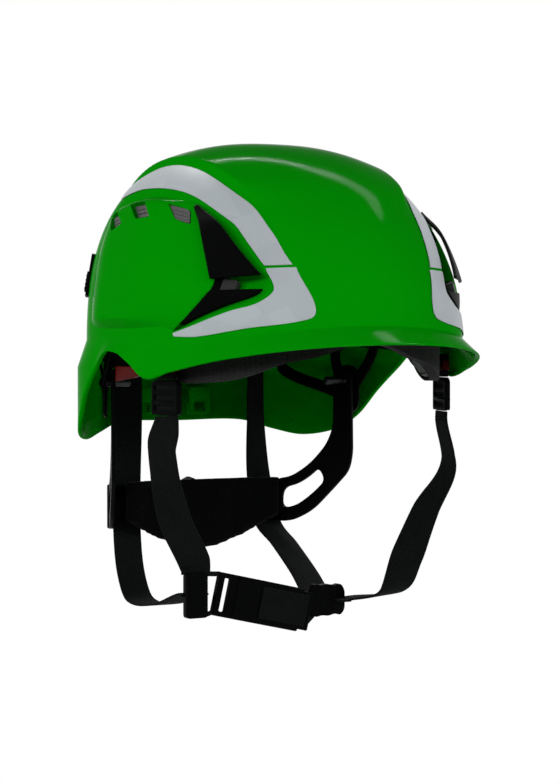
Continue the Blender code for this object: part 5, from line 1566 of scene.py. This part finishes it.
@dataclass
class Cradle:
    """The arms behind the ears, their ratchet and the nape pad."""

    shop: Workshop
    setback: float = 0.0045
    arm_thickness: float = 0.0024
    arm_bore: float = 0.0032
    yoke_x: float = 0.06
    yoke_width: float = 0.009
    yoke_height: float = 0.0272
    rack_y: float = 0.1042
    rack_rise: float = 0.00935
    rack_height: float = 0.006
    rack_past: float = 0.02
    rack_pitch: float = 0.002827
    tooth_count: int = 18
    tooth_start: float = -0.0185
    tooth_drop: float = 0.0036
    ratchet_z: float = -0.082
    arm_outline_mm: tuple = (
        (-6.8, 4.0), (-6.9, -30.0), (-7.2, -50.0), (-4.5, -61.0), (8.0, -73.0), (24.0, -87.5), (40.0, -94.5),
        (52.0, -95.0), (52.0, -67.6), (40.0, -66.0), (25.0, -57.5), (12.0, -44.5), (6.9, -33.0), (6.8, 4.0),
    )
    arm_slot_mm: tuple = (
        (18.0, -59.3), (26.0, -65.6), (35.0, -70.6), (46.5, -73.5), (47.5, -86.5), (36.0, -84.5),
        (24.0, -77.0), (13.0, -67.5),
    )
    knob_radius: float = 0.0165
    knob_depth: float = 0.012
    knob_front: float = 0.1087
    knob_dip: float = 0.0012
    knob_grips: int = 12
    knob_profile: tuple = (
        (0.0, 0.9, 0.4), (0.05, 0.95, 0.8), (0.16, 0.99, 1.0), (0.8, 0.99, 1.0), (0.93, 0.96, 0.8),
        (0.985, 0.88, 0.3), (1.0, 0.78, 0.0), (0.94, 0.62, 0.0), (0.93, 0.3, 0.0),
    )
    shaft_start: float = 0.1061
    housing_rear: float = 0.1084
    nape_half_width: float = 0.0545
    nape_top: float = -0.065
    nape_bottom: float = -0.11
    nape_end_bottom: float = -0.09
    nape_rear: float = 0.1005
    nape_thickness: float = 0.005
    nape_bow: float = 0.006
    nape_channel: float = 0.022
    seam_inset: float = 0.0035

    def arm(self, side: Side, body: Body) -> None:
        """Make and dress an arm: a plate with a slot, its yoke, and its toothed rack."""
        sign = side.value
        start = np.array((sign * (PIVOT[0] - self.setback * math.cos(HUB_TURN)),
                          PIVOT[1] - self.setback * math.sin(HUB_TURN), 0.0))
        end = np.array((sign * self.yoke_x, self.rack_y, 0.0))
        outline = rounded_outline(np.array(self.arm_outline_mm) / 1000, 0.009, 7)
        slot = rounded_outline(np.array(self.arm_slot_mm) / 1000, 0.007, 7)
        holes = [slot, circle(self.arm_bore, PIVOT[2])]
        parts = [stamped(outline, holes, self.arm_thickness, framed(start, end - start, UP), 0.0006)]
        yoke_x = sign * (self.yoke_x - self.yoke_width / 2 + 0.001)
        yoke = oblong(self.yoke_width + 0.002, self.yoke_height, 0.0012)
        frame = upright((yoke_x, self.rack_y, self.ratchet_z + 0.0007))
        parts.append(stamped(yoke, [], self.arm_thickness, frame, 0.0005))
        upward = -sign
        rack_z = self.ratchet_z + upward * self.rack_rise
        rack = oblong(self.yoke_x + self.rack_past, self.rack_height, 0.0005)
        frame = upright((sign * (self.yoke_x - self.rack_past) / 2, self.rack_y, rack_z))
        parts.append(stamped(rack, [], self.arm_thickness, frame, 0.0002))
        teeth_z = rack_z - upward * self.tooth_drop
        spots = [(sign * (self.tooth_start + self.rack_pitch * step), self.rack_y, teeth_z)
                 for step in range(self.tooth_count)]
        parts.append(self.shop.row(Repeat.RIB, "black_moulded", np.array(spots), (1, 0, 0), (0, 0, 1),
                                   (0.0012, self.arm_thickness * 0.96, 0.0014)))
        self.shop.assemble(f"cradle_arm_{side.word}", "black_moulded", parts, body=body)

    def knob(self) -> None:
        """Make and dress the knob with its grip ribs, and the pinion."""
        turns = np.linspace(0, 2 * math.pi, 144, endpoint=False)
        dip = self.knob_dip * (1 - np.cos(turns * self.knob_grips)) / 2
        rings = []
        for share, scale, wave in self.knob_profile:
            radius = self.knob_radius * scale - dip * wave
            depth = np.full(len(turns), self.knob_front + self.knob_depth * share)
            x, z = radius * np.cos(turns), self.ratchet_z + radius * np.sin(turns)
            rings.append(np.stack((x, depth, z), axis=-1))
        shaft = ((0, 0.003), (0.008, 0.003))
        start = (0, self.shaft_start, self.ratchet_z)
        parts = [tube("cap", rings), lathe("shaft", start, (0, 1, 0), shaft, 24)]
        grips = np.linspace(0, 2 * math.pi, self.knob_grips + 1)[:-1]
        out = np.stack((np.cos(grips), np.zeros(len(grips)), np.sin(grips)), axis=-1)
        middle = np.array((0.0, self.knob_front + 0.55 * self.knob_depth, self.ratchet_z))
        parts.append(self.shop.row(Repeat.STITCH, "black_fitting", middle + out * self.knob_radius * 0.985,
                                   (0, 1, 0), out, (0.008, 0.0022, 0.0012)))
        self.shop.assemble("ratchet_knob", "black_fitting", parts, body=Body.KNOB)
        self.shop.fitting("ratchet_pinion", "black_fitting", 0.0001, body=Body.KNOB)

    def housing(self) -> None:
        """Make and dress the ratchet's housing with ribs, its cover and its screws."""
        box = eased(self.shop.copied("ratchet_housing", "box"), 0.0007, 3, 50.0)
        spots = [(sign * x, self.housing_rear, self.ratchet_z)
                 for sign in (-1, 1) for x in np.linspace(0.021, 0.032, 5)]
        ribs = self.shop.row(Repeat.RIB, "black_fitting", np.array(spots), (1, 0, 0), (0, 1, 0),
                             (0.0011, 0.022, 0.0008))
        self.shop.assemble("ratchet_housing", "black_fitting", [box, ribs])
        self.shop.fitting("ratchet_cover", "black_fitting", 0.0003)
        for place in ("upper", "lower"):
            self.shop.fitting(f"cover_screw_{place}", "drawn_steel", 0.0002)

    def nape_pad(self) -> None:
        """Make and dress the nape pad, in channels, with a seam along its edges."""
        shares = np.linspace(-1, 1, 81)
        x = self.nape_half_width * shares
        rear = self.nape_rear - self.nape_bow * smooth(2 * (np.abs(x) - 0.035) / self.nape_half_width)
        bottom = self.nape_bottom + (self.nape_end_bottom - self.nape_bottom) * np.abs(shares) ** 1.6
        rows = np.linspace(0, 1, 25)
        z = self.nape_top + (bottom - self.nape_top)[:, None] * rows
        wide, back = (np.repeat(values[:, None], len(rows), axis=1) for values in (x, rear))
        channel = np.exp(-((np.abs(wide) - self.nape_channel) / 0.0018) ** 2)
        edge = np.minimum(1 - np.abs(shares)[:, None], np.minimum(rows, 1 - rows)[None, :] * 0.8)
        thick = (self.nape_thickness - 0.0006) * (0.55 + 0.45 * smooth(edge / 0.1)) - 0.0012 * channel
        high = np.stack((wide, back - 0.0002, z), axis=-1)
        low = np.stack((wide, back - thick, z), axis=-1)
        pad = plate("nape_pad_visual", low, high)
        in_channel = np.abs(np.abs(x) - self.nape_channel) < 0.001
        held = np.concatenate((high.reshape(-1, 3)[::3], low[in_channel].reshape(-1, 3)))
        pad = swollen(pad, 0.002, held, 0.0012, 0.001)
        self.shop.dress(pad, "black_spacer", "nape_pad")
        front = rear - self.nape_thickness + 0.0006
        heights = np.full_like(x, self.nape_top - self.seam_inset), bottom + self.seam_inset
        lines = [np.stack((x, front, height), axis=-1) for height in heights]
        along = unit(np.concatenate([np.gradient(line, axis=0)[2:-2] for line in lines]))
        points = np.concatenate([line[2:-2] for line in lines])
        size = (0.001, 0.0005, 0.0005)
        self.shop.stitches("nape_stitches", points, along, (0, -1, 0), size=size, unevenness=0.12)

    def build(self) -> None:
        """Make the whole cradle."""
        self.arm(Side.RIGHT, Body.ARM_RIGHT)
        self.arm(Side.LEFT, Body.ARM_LEFT)
        self.knob()
        self.housing()
        self.nape_pad()


# Harness


@dataclass(frozen=True)
class Route:
    """Where a strap runs: its knots, and the directions across it from start to end."""

    name: str
    knots: tuple
    across: tuple
    count: int


@dataclass
class HarnessSide:
    """The anchors, straps and divider of one side."""

    shop: Workshop
    dome: Dome
    side: Side
    body: Body
    divider_x: tuple
    divider_z: float
    divider_outline_mm: tuple
    front_middle: tuple
    front_across: tuple
    rear_loop: tuple
    rear_foot_x: float
    rear_across: tuple
    lug_turns: tuple = (76.0, 84.0)
    lug_low: tuple = (0.0045, -0.0025)
    lug_high: float = 0.0062
    lug_depths: tuple = (0.0038, 0.001)
    anchor_turn: float = 73.0
    anchor_z: float = 0.01
    anchor_top: float = 0.003
    anchor_length: float = 0.016
    anchor_split: float = 0.0055
    anchor_half_width: float = 0.008
    anchor_thickness: float = 0.004
    collar_size: tuple = (0.0166, 0.0064)
    collar_rise: float = 0.007
    adjuster_length: float = 0.014
    adjuster_side: float = 0.0015
    adjuster_slots: tuple = (0.0038, 0.0095, 0.0152)
    adjuster_bar: float = 0.0067
    wall_gap: float = 0.0008
    seat_gap: float = 0.0003
    end_gap: float = 0.0007
    tuck: float = 0.0018
    lead: float = 0.006
    rear_x: float = 0.047
    rear_y: float = 0.1082
    rear_anchor_z: float = 0.004
    rear_standoff: float = 0.0065
    rear_drop_z: float = -0.03
    rear_foot_z: float = -0.096
    nape_top: float = -0.067
    divider_y: float = 0.019
    divider_height: float = 0.027
    divider_depth: float = 0.006

    def anchor_frame(self) -> tuple:
        """Return the front anchor's place on the inner wall, and its directions along the wall and out."""
        turn = self.side.value * self.anchor_turn
        point = self.dome.at_turn(np.array(math.radians(turn)), np.array(self.anchor_z))
        out = self.dome.normal(point)
        along = unit(np.cross(out, UP))
        return self.dome.inside(turn, self.anchor_z, self.wall_gap), along, out

    def fittings(self) -> Array:
        """Make and dress the red anchor and the adjuster, and return where the front strap starts."""
        origin, along, out = self.anchor_frame()
        word = self.side.word
        middle = origin - out * self.anchor_thickness / 2
        frame = framed(middle, along, UP)
        split = self.anchor_split - self.anchor_length
        half, high = self.anchor_half_width, self.anchor_top
        outline = rounded_outline(((-half, high), (-half, split), (half, split), (half, high)), 0.0018)
        back = stamped(outline, [], self.anchor_thickness - 0.0006, frame, 0.0007)
        collar = oblong(*self.collar_size, 0.0016, (0.0, split + self.collar_rise))
        collar = stamped(collar, [], self.anchor_thickness, frame, 0.0006)
        parts = [self.shop.paint(back, "black_fitting"), collar, eased(self.lug(), 0.0006)]
        self.shop.assemble(f"strap_anchor_front_{word}", "red_moulded", parts, f"front_anchor_{word}")
        half = WEB_WIDTH / 2 + self.adjuster_side
        top = split - self.seat_gap
        foot = -self.anchor_length - self.seat_gap - self.adjuster_length
        outline = rounded_outline(((-half, top - 0.002), (-half, foot), (half, foot), (half, top - 0.002),
                                   (half - 0.003, top), (-half + 0.003, top)), 0.0018)
        slots = [oblong(WEB_WIDTH - 0.002, 0.0026, 0.0008, (0.0, foot + rise))
                 for rise in self.adjuster_slots]
        ladder = stamped(outline, slots, self.anchor_thickness - 0.0008, frame, 0.0007)
        bar = np.array(frame @ Vector((0.0, foot + self.adjuster_bar, 0.0)))
        bars = np.array([bar + out * sign * 0.0016 for sign in (-1, 1)])
        ridge = self.shop.row(Repeat.STITCH, "black_fitting", bars, along, out, (WEB_WIDTH, 0.0022, 0.0012))
        middles = np.array([middle + UP * z for z in np.linspace(foot - 0.0004, top - 0.0015, 12)])
        web = swept("web", middles, along, out, strap_profile(WEB_WIDTH - 0.003, WEB_THICKNESS * 1.3))
        parts = [ladder, ridge, self.shop.paint(web, "black_web")]
        self.shop.assemble(f"strap_adjuster_{word}", "black_fitting", parts, f"adjuster_{word}")
        return middle + UP * (foot - self.end_gap)

    def lug(self) -> Piece:
        """Make the red lug that runs back from the anchor along the inner wall."""
        shares = np.linspace(0, 1, 17)
        first, last = self.lug_turns
        turns = np.radians(self.side.value * (first + (last - first) * shares))
        low = self.lug_low[0] + (self.lug_low[1] - self.lug_low[0]) * shares
        z = low[:, None] + (self.lug_high - low)[:, None] * np.linspace(0, 1, 7)
        wall = self.dome.at_turn(np.repeat(turns[:, None], 7, axis=1), z)
        return plate("lug", *(self.dome.lifted(wall, -self.dome.WALL - depth) for depth in self.lug_depths))

    def routes(self, start: Array) -> tuple:
        """Return where the front and the rear strap run."""
        sign, word = self.side.value, self.side.word
        _, along, _ = self.anchor_frame()
        toward_front = -along if along[1] > 0 else along
        inner, outer = self.divider_x
        middle_x = sign * (inner + outer) / 2
        if self.side is Side.RIGHT:
            top = self.divider_z + self.divider_height / 2 - self.tuck
            ends = ((middle_x, self.divider_y, top + self.lead), (middle_x, self.divider_y, top))
        else:
            edge = sign * outer - self.tuck
            ends = [(x, self.divider_y, self.divider_z) for x in (edge + 2 * self.lead, edge)]
        knots = (tuple(start), tuple(start - UP * self.lead), *self.front_middle, *ends)
        front = Route(f"strap_front_{word}", knots, (tuple(toward_front), *self.front_across), 110)
        sine = (self.rear_x / self.dome.HALF_WIDTH) ** (self.dome.REAR_ROUND / 2)
        turn = sign * (180 - math.degrees(math.asin(sine)))
        wall = self.dome.inside(turn, self.rear_anchor_z, self.wall_gap)
        strap_y = wall[1] - self.rear_standoff - self.anchor_thickness / 2
        rear_end = self.divider_y + self.divider_depth / 2 - self.tuck
        knots = (
            (wall[0], strap_y, self.rear_anchor_z - self.seat_gap), (wall[0], strap_y, self.rear_drop_z),
            (sign * self.rear_x, self.rear_y, self.nape_top),
            (sign * self.rear_foot_x, self.rear_y, self.rear_foot_z), *self.rear_loop,
            (middle_x, rear_end + self.lead, self.divider_z), (middle_x, rear_end, self.divider_z),
        )
        return front, Route(f"strap_rear_{word}", knots, self.rear_across, 150)

    def strap(self, route: Route) -> None:
        """Make and dress one strap, and its stitches at both ends."""
        frames = strap_frames(route.knots, route.across, route.count)
        piece = swept(f"{route.name}_visual", *frames, strap_profile(WEB_WIDTH, WEB_THICKNESS))
        if self.side is Side.RIGHT:
            self.shop.dress(piece, "black_web", route.name)
        else:
            self.shop.dress(piece, "black_web", route.name, None)
            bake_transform(piece)
        for place, index, body in (("top", 3, Body.SHELL), ("foot", route.count - 4, self.body)):
            middle, wide, out = (part[index] for part in frames)
            rows = [(middle + np.cross(wide, out) * shift, wide, out) for shift in (-0.001, 0.001)]
            self.shop.tacks(f"{route.name}_{place}_tack", rows, 0.0078, 10, WEB_THICKNESS, body)

    def divider(self) -> None:
        """Make and dress the divider: a rounded block with grip bumps."""
        word = self.side.word
        frame = upright((self.side.value * sum(self.divider_x) / 2, self.divider_y, self.divider_z))
        outline = rounded_outline(np.array(self.divider_outline_mm) / 1000, 0.0025)
        block = stamped(outline, [], self.divider_depth - 0.0012, frame, 0.0011)
        bumps = [frame @ Vector((x, y, lift)) for x in (-0.0043, 0.0043)
                 for y in np.linspace(-0.006, 0.006, 4) for lift in (-0.0023, 0.0023)]
        grips = self.shop.row(Repeat.STITCH, "black_fitting", np.array(bumps), (1, 0, 0), (0, -1, 0),
                              (0.0048, 0.002, 0.0013))
        parts = [block, grips]
        self.shop.assemble(f"strap_divider_{word}", "black_fitting", parts, f"divider_{word}", self.body)

    def build(self) -> None:
        """Make everything on this side."""
        for route in self.routes(self.fittings()):
            self.strap(route)
        word = self.side.word
        self.shop.fitting(f"strap_anchor_rear_{word}", "black_fitting", 0.0009, f"rear_anchor_{word}",
                          segments=3, angle=50.0)
        self.shop.fitting(f"strap_anchor_pin_{word}", "black_fitting", 0.0006, f"rear_anchor_pin_{word}")
        self.divider()


@dataclass
class Buckle:
    """The side-release buckle, the webs on either side of it and the free end over it."""

    shop: Workshop
    centre: tuple = (0.001, 0.019, -0.136)
    tilt: float = 13.0
    half_length: float = 0.023
    half_depth: float = 0.0048
    ladder_length: float = 0.012
    male_gap: float = 0.0004
    male_base: float = 0.0074
    seat_gap: float = 0.0003
    rail_size: tuple = (0.003, 0.0028)
    rail_spread: tuple = (0.0122, 0.0115)
    tail_overhang: float = 0.003
    tail_start: float = -0.006
    divider_inner: tuple = (0.039, 0.036)
    divider_z: tuple = (-0.1285, -0.1365)

    def frame(self) -> Matrix:
        """Return the buckle's frame: along the strap, across it, and to the front."""
        tilt = math.radians(self.tilt)
        along, across = (math.cos(tilt), 0, -math.sin(tilt)), (math.sin(tilt), 0, math.cos(tilt))
        return framed(self.centre, along, across)

    def moulding(self, node: str, body: Body, ease: float, ridges: list, size: tuple) -> None:
        """Make and dress one moulded part from its CAD shape, with ridges to grip.

        Args:
            node: The CAD node.
            body: The body that it rides on.
            ease: How much its edges are rounded.
            ridges: Places of the ridges in the buckle's frame.
            size: A ridge's size across, along and out.
        """
        frame = self.frame()
        block = eased(self.shop.copied(node, "block"), ease, 3, 50.0)
        spots = np.array([frame @ Vector(spot) for spot in ridges])
        row = self.shop.row(Repeat.STITCH, "black_fitting", spots, frame.col[1][:3], frame.col[2][:3], size)
        self.shop.assemble(node, "black_fitting", [block, row], body=body)

    def webs(self) -> None:
        """Make and dress the left chin web, and the right one, which is folded into two edges with a slit."""
        frame = self.frame()
        across = np.array(frame.col[1][:3])
        ladder_end = -self.half_length - self.ladder_length - self.seat_gap
        male_end = self.half_length + self.male_gap + self.male_base - 0.0001
        ladder, male = (np.array(frame @ Vector((u, 0, 0))) for u in (ladder_end, male_end))
        right, left = (np.array((sign * (inner - self.seat_gap), self.centre[1], z))
                       for sign, inner, z in zip((-1, 1), self.divider_inner, self.divider_z))
        edges = []
        for sign in (-1, 1):
            start = right + UP * sign * self.rail_spread[0] - (0.001, 0, 0)
            end = ladder + across * sign * self.rail_spread[1] + (0.001, 0, 0)
            edges.append(swept("edge", np.linspace(start, end, 8), UP, BACK, strap_profile(*self.rail_size)))
        self.shop.assemble("chin_web_right", "black_web", edges)
        section = strap_profile(WEB_WIDTH, WEB_THICKNESS)
        wides = unit(np.linspace(across, UP, 12))
        web = swept("chin_web_left_visual", np.linspace(male, left, 12), wides, BACK, section)
        self.shop.dress(web, "black_web", "chin_web_left", Body.BUCKLE_MALE)

    def tail(self) -> None:
        """Make and dress the free end of the web over the buckle, with a stitched tip."""
        frame = self.frame()
        across, face = frame.col[1][:3], frame.col[2][:3]
        out = self.half_depth + self.seat_gap + WEB_THICKNESS / 2
        end = self.half_length + self.tail_overhang
        places = np.array([frame @ Vector((u, 0, out)) for u in np.linspace(self.tail_start, end, 30)])
        piece = swept("tail_visual", places, across, face, strap_profile(WEB_WIDTH, WEB_THICKNESS))
        self.shop.dress(piece, "black_web", "chin_strap_tail")
        spots = [frame @ Vector((end - back, v, out + WEB_THICKNESS / 2)) for back in (0.003, 0.0085)
                 for v in np.linspace(-0.008, 0.008, 10)]
        self.shop.stitches("tail_stitches", np.array(spots), across, face)

    def build(self) -> None:
        """Make the whole buckle."""
        ridges = [(u, 0.0, -self.half_depth) for u in (-0.018, -0.0155, -0.013)]
        self.moulding("buckle_female", Body.SHELL, 0.0011, ridges, (0.016, 0.0012, 0.001))
        base = self.half_length + self.male_gap
        ridges = [(base + u, 0.0, -0.004) for u in (0.0022, 0.0048)]
        self.moulding("buckle_male", Body.BUCKLE_MALE, 0.001, ridges, (0.016, 0.0012, 0.0009))
        for word, sign, body in (("upper", 1, Body.PRONG_UPPER), ("lower", -1, Body.PRONG_LOWER)):
            ridges = [(u, sign * 0.0125, 0.0) for u in (0.009, 0.0115, 0.014, 0.0165)]
            self.moulding(f"release_prong_{word}", body, 0.0006, ridges, (0.0008, 0.0012, 0.0042))
        self.webs()
        self.tail()


def harness(shop: Workshop, dome: Dome) -> None:
    """Make both sides of the chin strap and the buckle between them."""
    HarnessSide(
        shop, dome, Side.RIGHT, Body.SHELL,
        divider_x=(0.039, 0.053),
        divider_z=-0.1285,
        divider_outline_mm=((-7, -13.5), (7, -13.5), (7, 13.5), (-7, 13.5)),
        front_middle=((-0.09, -0.024, -0.04), (-0.071, -0.002, -0.08)),
        front_across=((0.5, -0.87, 0), (1, -0.35, 0.1), (1, 0, 0)),
        rear_loop=((-0.047, 0.103, -0.122), (-0.047, 0.09, -0.138), (-0.047, 0.055, -0.137)),
        rear_foot_x=0.047,
        rear_across=((1, 0, 0),),
        lug_turns=(76.0, 96.0),
    ).build()
    HarnessSide(
        shop, dome, Side.LEFT, Body.BUCKLE_MALE,
        divider_x=(0.036, 0.05),
        divider_z=-0.1365,
        divider_outline_mm=(
            (-12, -7), (-8.5, -10), (-3.5, -8.8), (1, -9.6), (5.5, -8.2), (9.5, -9.6), (12.5, -6), (12.5, 6),
            (9.5, 10), (5.5, 8.6), (1, 10), (-3.5, 9.2), (-8.5, 10.5), (-12, 7),
        ),
        front_middle=((0.095, -0.0365, -0.0545), (0.0835, -0.03, -0.08), (0.0755, -0.0225, -0.107),
                      (0.0745, -0.006, -0.13)),
        front_across=((-0.2, -1, 0), (0.3, -0.92, 0.1), (0.6, -0.78, 0.2), (0.8, -0.45, 0.1),
                      (0.85, 0.45, 0), (0.1, 1, 0)),
        rear_loop=((0.0565, 0.0925, -0.108), (0.0525, 0.06, -0.124)),
        rear_foot_x=0.054,
        rear_across=((0.85, 0.5, 0), (0.88, 0.45, 0), (0.97, 0.2, 0), *(4 * ((1, 0, 0),))),
    ).build()
    Buckle(shop).build()


# Studio


@dataclass(frozen=True)
class Lamp:
    """A soft rectangular lamp that looks at a point, and lights either plain colour or gloss."""

    name: str
    place: tuple
    aim: tuple
    size: tuple
    power: float
    mirrored: bool = False

    def build(self) -> None:
        """Make the lamp."""
        data = bpy.data.lights.new(self.name, "AREA")
        data.shape = "RECTANGLE"
        data.size, data.size_y = self.size
        data.energy = self.power
        lamp = linked(self.name, data)
        lamp.location = self.place
        lamp.visible_glossy, lamp.visible_diffuse = self.mirrored, not self.mirrored
        lamp.rotation_euler = (Vector(self.aim) - Vector(self.place)).to_track_quat("-Z", "Y").to_euler()


@dataclass
class Studio:
    """The camera at the photograph's angle, soft lamps, a pale floor and a plain world."""

    target: tuple = (0.0, 0.0, -0.009)
    azimuth: float = -30.0
    elevation: float = 1.3
    distance: float = 1.32
    lens: float = 103.0
    floor_z: float = -0.42
    floor_glow: float = 0.7
    floor_tone: float = 0.82
    world_level: float = 0.08
    floor_reach: float = 0.65
    lamps: tuple = (
        Lamp("key", (-1.15, -0.8, 0.4), (0.0, 0.0, 0.03), (1.3, 0.3), 13.5),
        Lamp("fill", (0.55, -1.3, 0.4), (0.0, 0.0, 0.02), (1.3, 0.3), 11.5),
        Lamp("rear", (-1.15, 0.7, 0.38), (0.0, 0.0, 0.02), (1.0, 0.3), 8.0),
        Lamp("low", (0.95, -0.6, -0.24), (0.06, -0.06, 0.0), (0.4, 0.2), 1.6),
        Lamp("strip_one", (0.5, 0.46, 1.0), (0.0, 0.0, 0.1), (1.2, 0.012), 20.0, True),
        Lamp("strip_two", (0.5, 0.54, 1.0), (0.0, 0.0, 0.1), (1.2, 0.012), 20.0, True),
    )

    def camera(self) -> None:
        """Make the camera and choose it."""
        data = bpy.data.cameras.new("camera")
        data.lens = self.lens
        data.sensor_width = 36.0
        data.sensor_fit = "AUTO"
        data.clip_end = 50.0
        turn, rise = math.radians(self.azimuth), math.radians(self.elevation)
        back = Vector((math.sin(turn) * math.cos(rise), -math.cos(turn) * math.cos(rise), math.sin(rise)))
        camera = linked("camera", data)
        camera.location = Vector(self.target) + back * self.distance
        camera.rotation_euler = (-back).to_track_quat("-Z", "Y").to_euler()
        bpy.context.scene.camera = camera

    def seen(self, tree: Tree) -> Socket:
        """Return 1 for the rays that look at the background, straight or in a gloss or a clear part."""
        rays = add_node(tree, "ShaderNodeLightPath").outputs
        result = rays["Is Camera Ray"]
        for name in ("Is Glossy Ray", "Is Transmission Ray"):
            inputs = {0: result, 1: rays[name]}
            result = add_node(tree, "ShaderNodeMath", inputs, operation="MAXIMUM").outputs[0]
        return result

    def world(self) -> None:
        """Make a soft grey world that looks white."""
        world = bpy.data.worlds.new("world")
        world.use_nodes = True
        tree = world.node_tree
        inputs = {"Value": self.seen(tree), "To Min": self.world_level}
        level = add_node(tree, "ShaderNodeMapRange", inputs).outputs["Result"]
        feed(tree, tree.nodes["Background"], {"Color": (1.0, 1.0, 1.0, 1.0), "Strength": level})
        bpy.context.scene.world = world

    def floor(self) -> None:
        """Make the pale floor, which looks near white and keeps the shadow."""
        reach, z = self.floor_reach, self.floor_z
        corners = np.array(((-reach, -reach, z), (reach, -reach, z), (reach, reach, z), (-reach, reach, z)))
        floor = mesh_piece("floor", corners, [(0, 1, 2, 3)])
        bench = NodeBench("pale_floor")
        glow = bench.maths("MULTIPLY", self.seen(bench.tree), self.floor_glow)
        bench.coat({"Base Color": (*(3 * (self.floor_tone,)), 1.0), "Roughness": 0.9,
                    "Emission Color": (1.0, 1.0, 1.0, 1.0), "Emission Strength": glow})
        floor.data.materials.append(bench.material)

    def build(self) -> None:
        """Make the whole studio."""
        self.camera()
        self.world()
        self.floor()
        for lamp in self.lamps:
            lamp.build()
        bpy.context.scene.view_settings.view_transform = "Standard"


def main() -> None:
    """Build the helmet's looks on its frame, and the studio round it."""
    logging.basicConfig(level=logging.INFO, format="%(message)s")
    for old in list(bpy.data.objects):
        bpy.data.objects.remove(old)
    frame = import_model()
    shop = Workshop(frame)
    dome = Dome()
    Shell(shop, dome).build()
    for side in Side:
        SideTrim(shop, dome, side).build()
    Suspension(shop, dome).build()
    Cradle(shop).build()
    harness(shop, dome)
    Studio().build()
    LOG.info("%d pieces", shop.count)


if __name__ == "__main__":
    main()
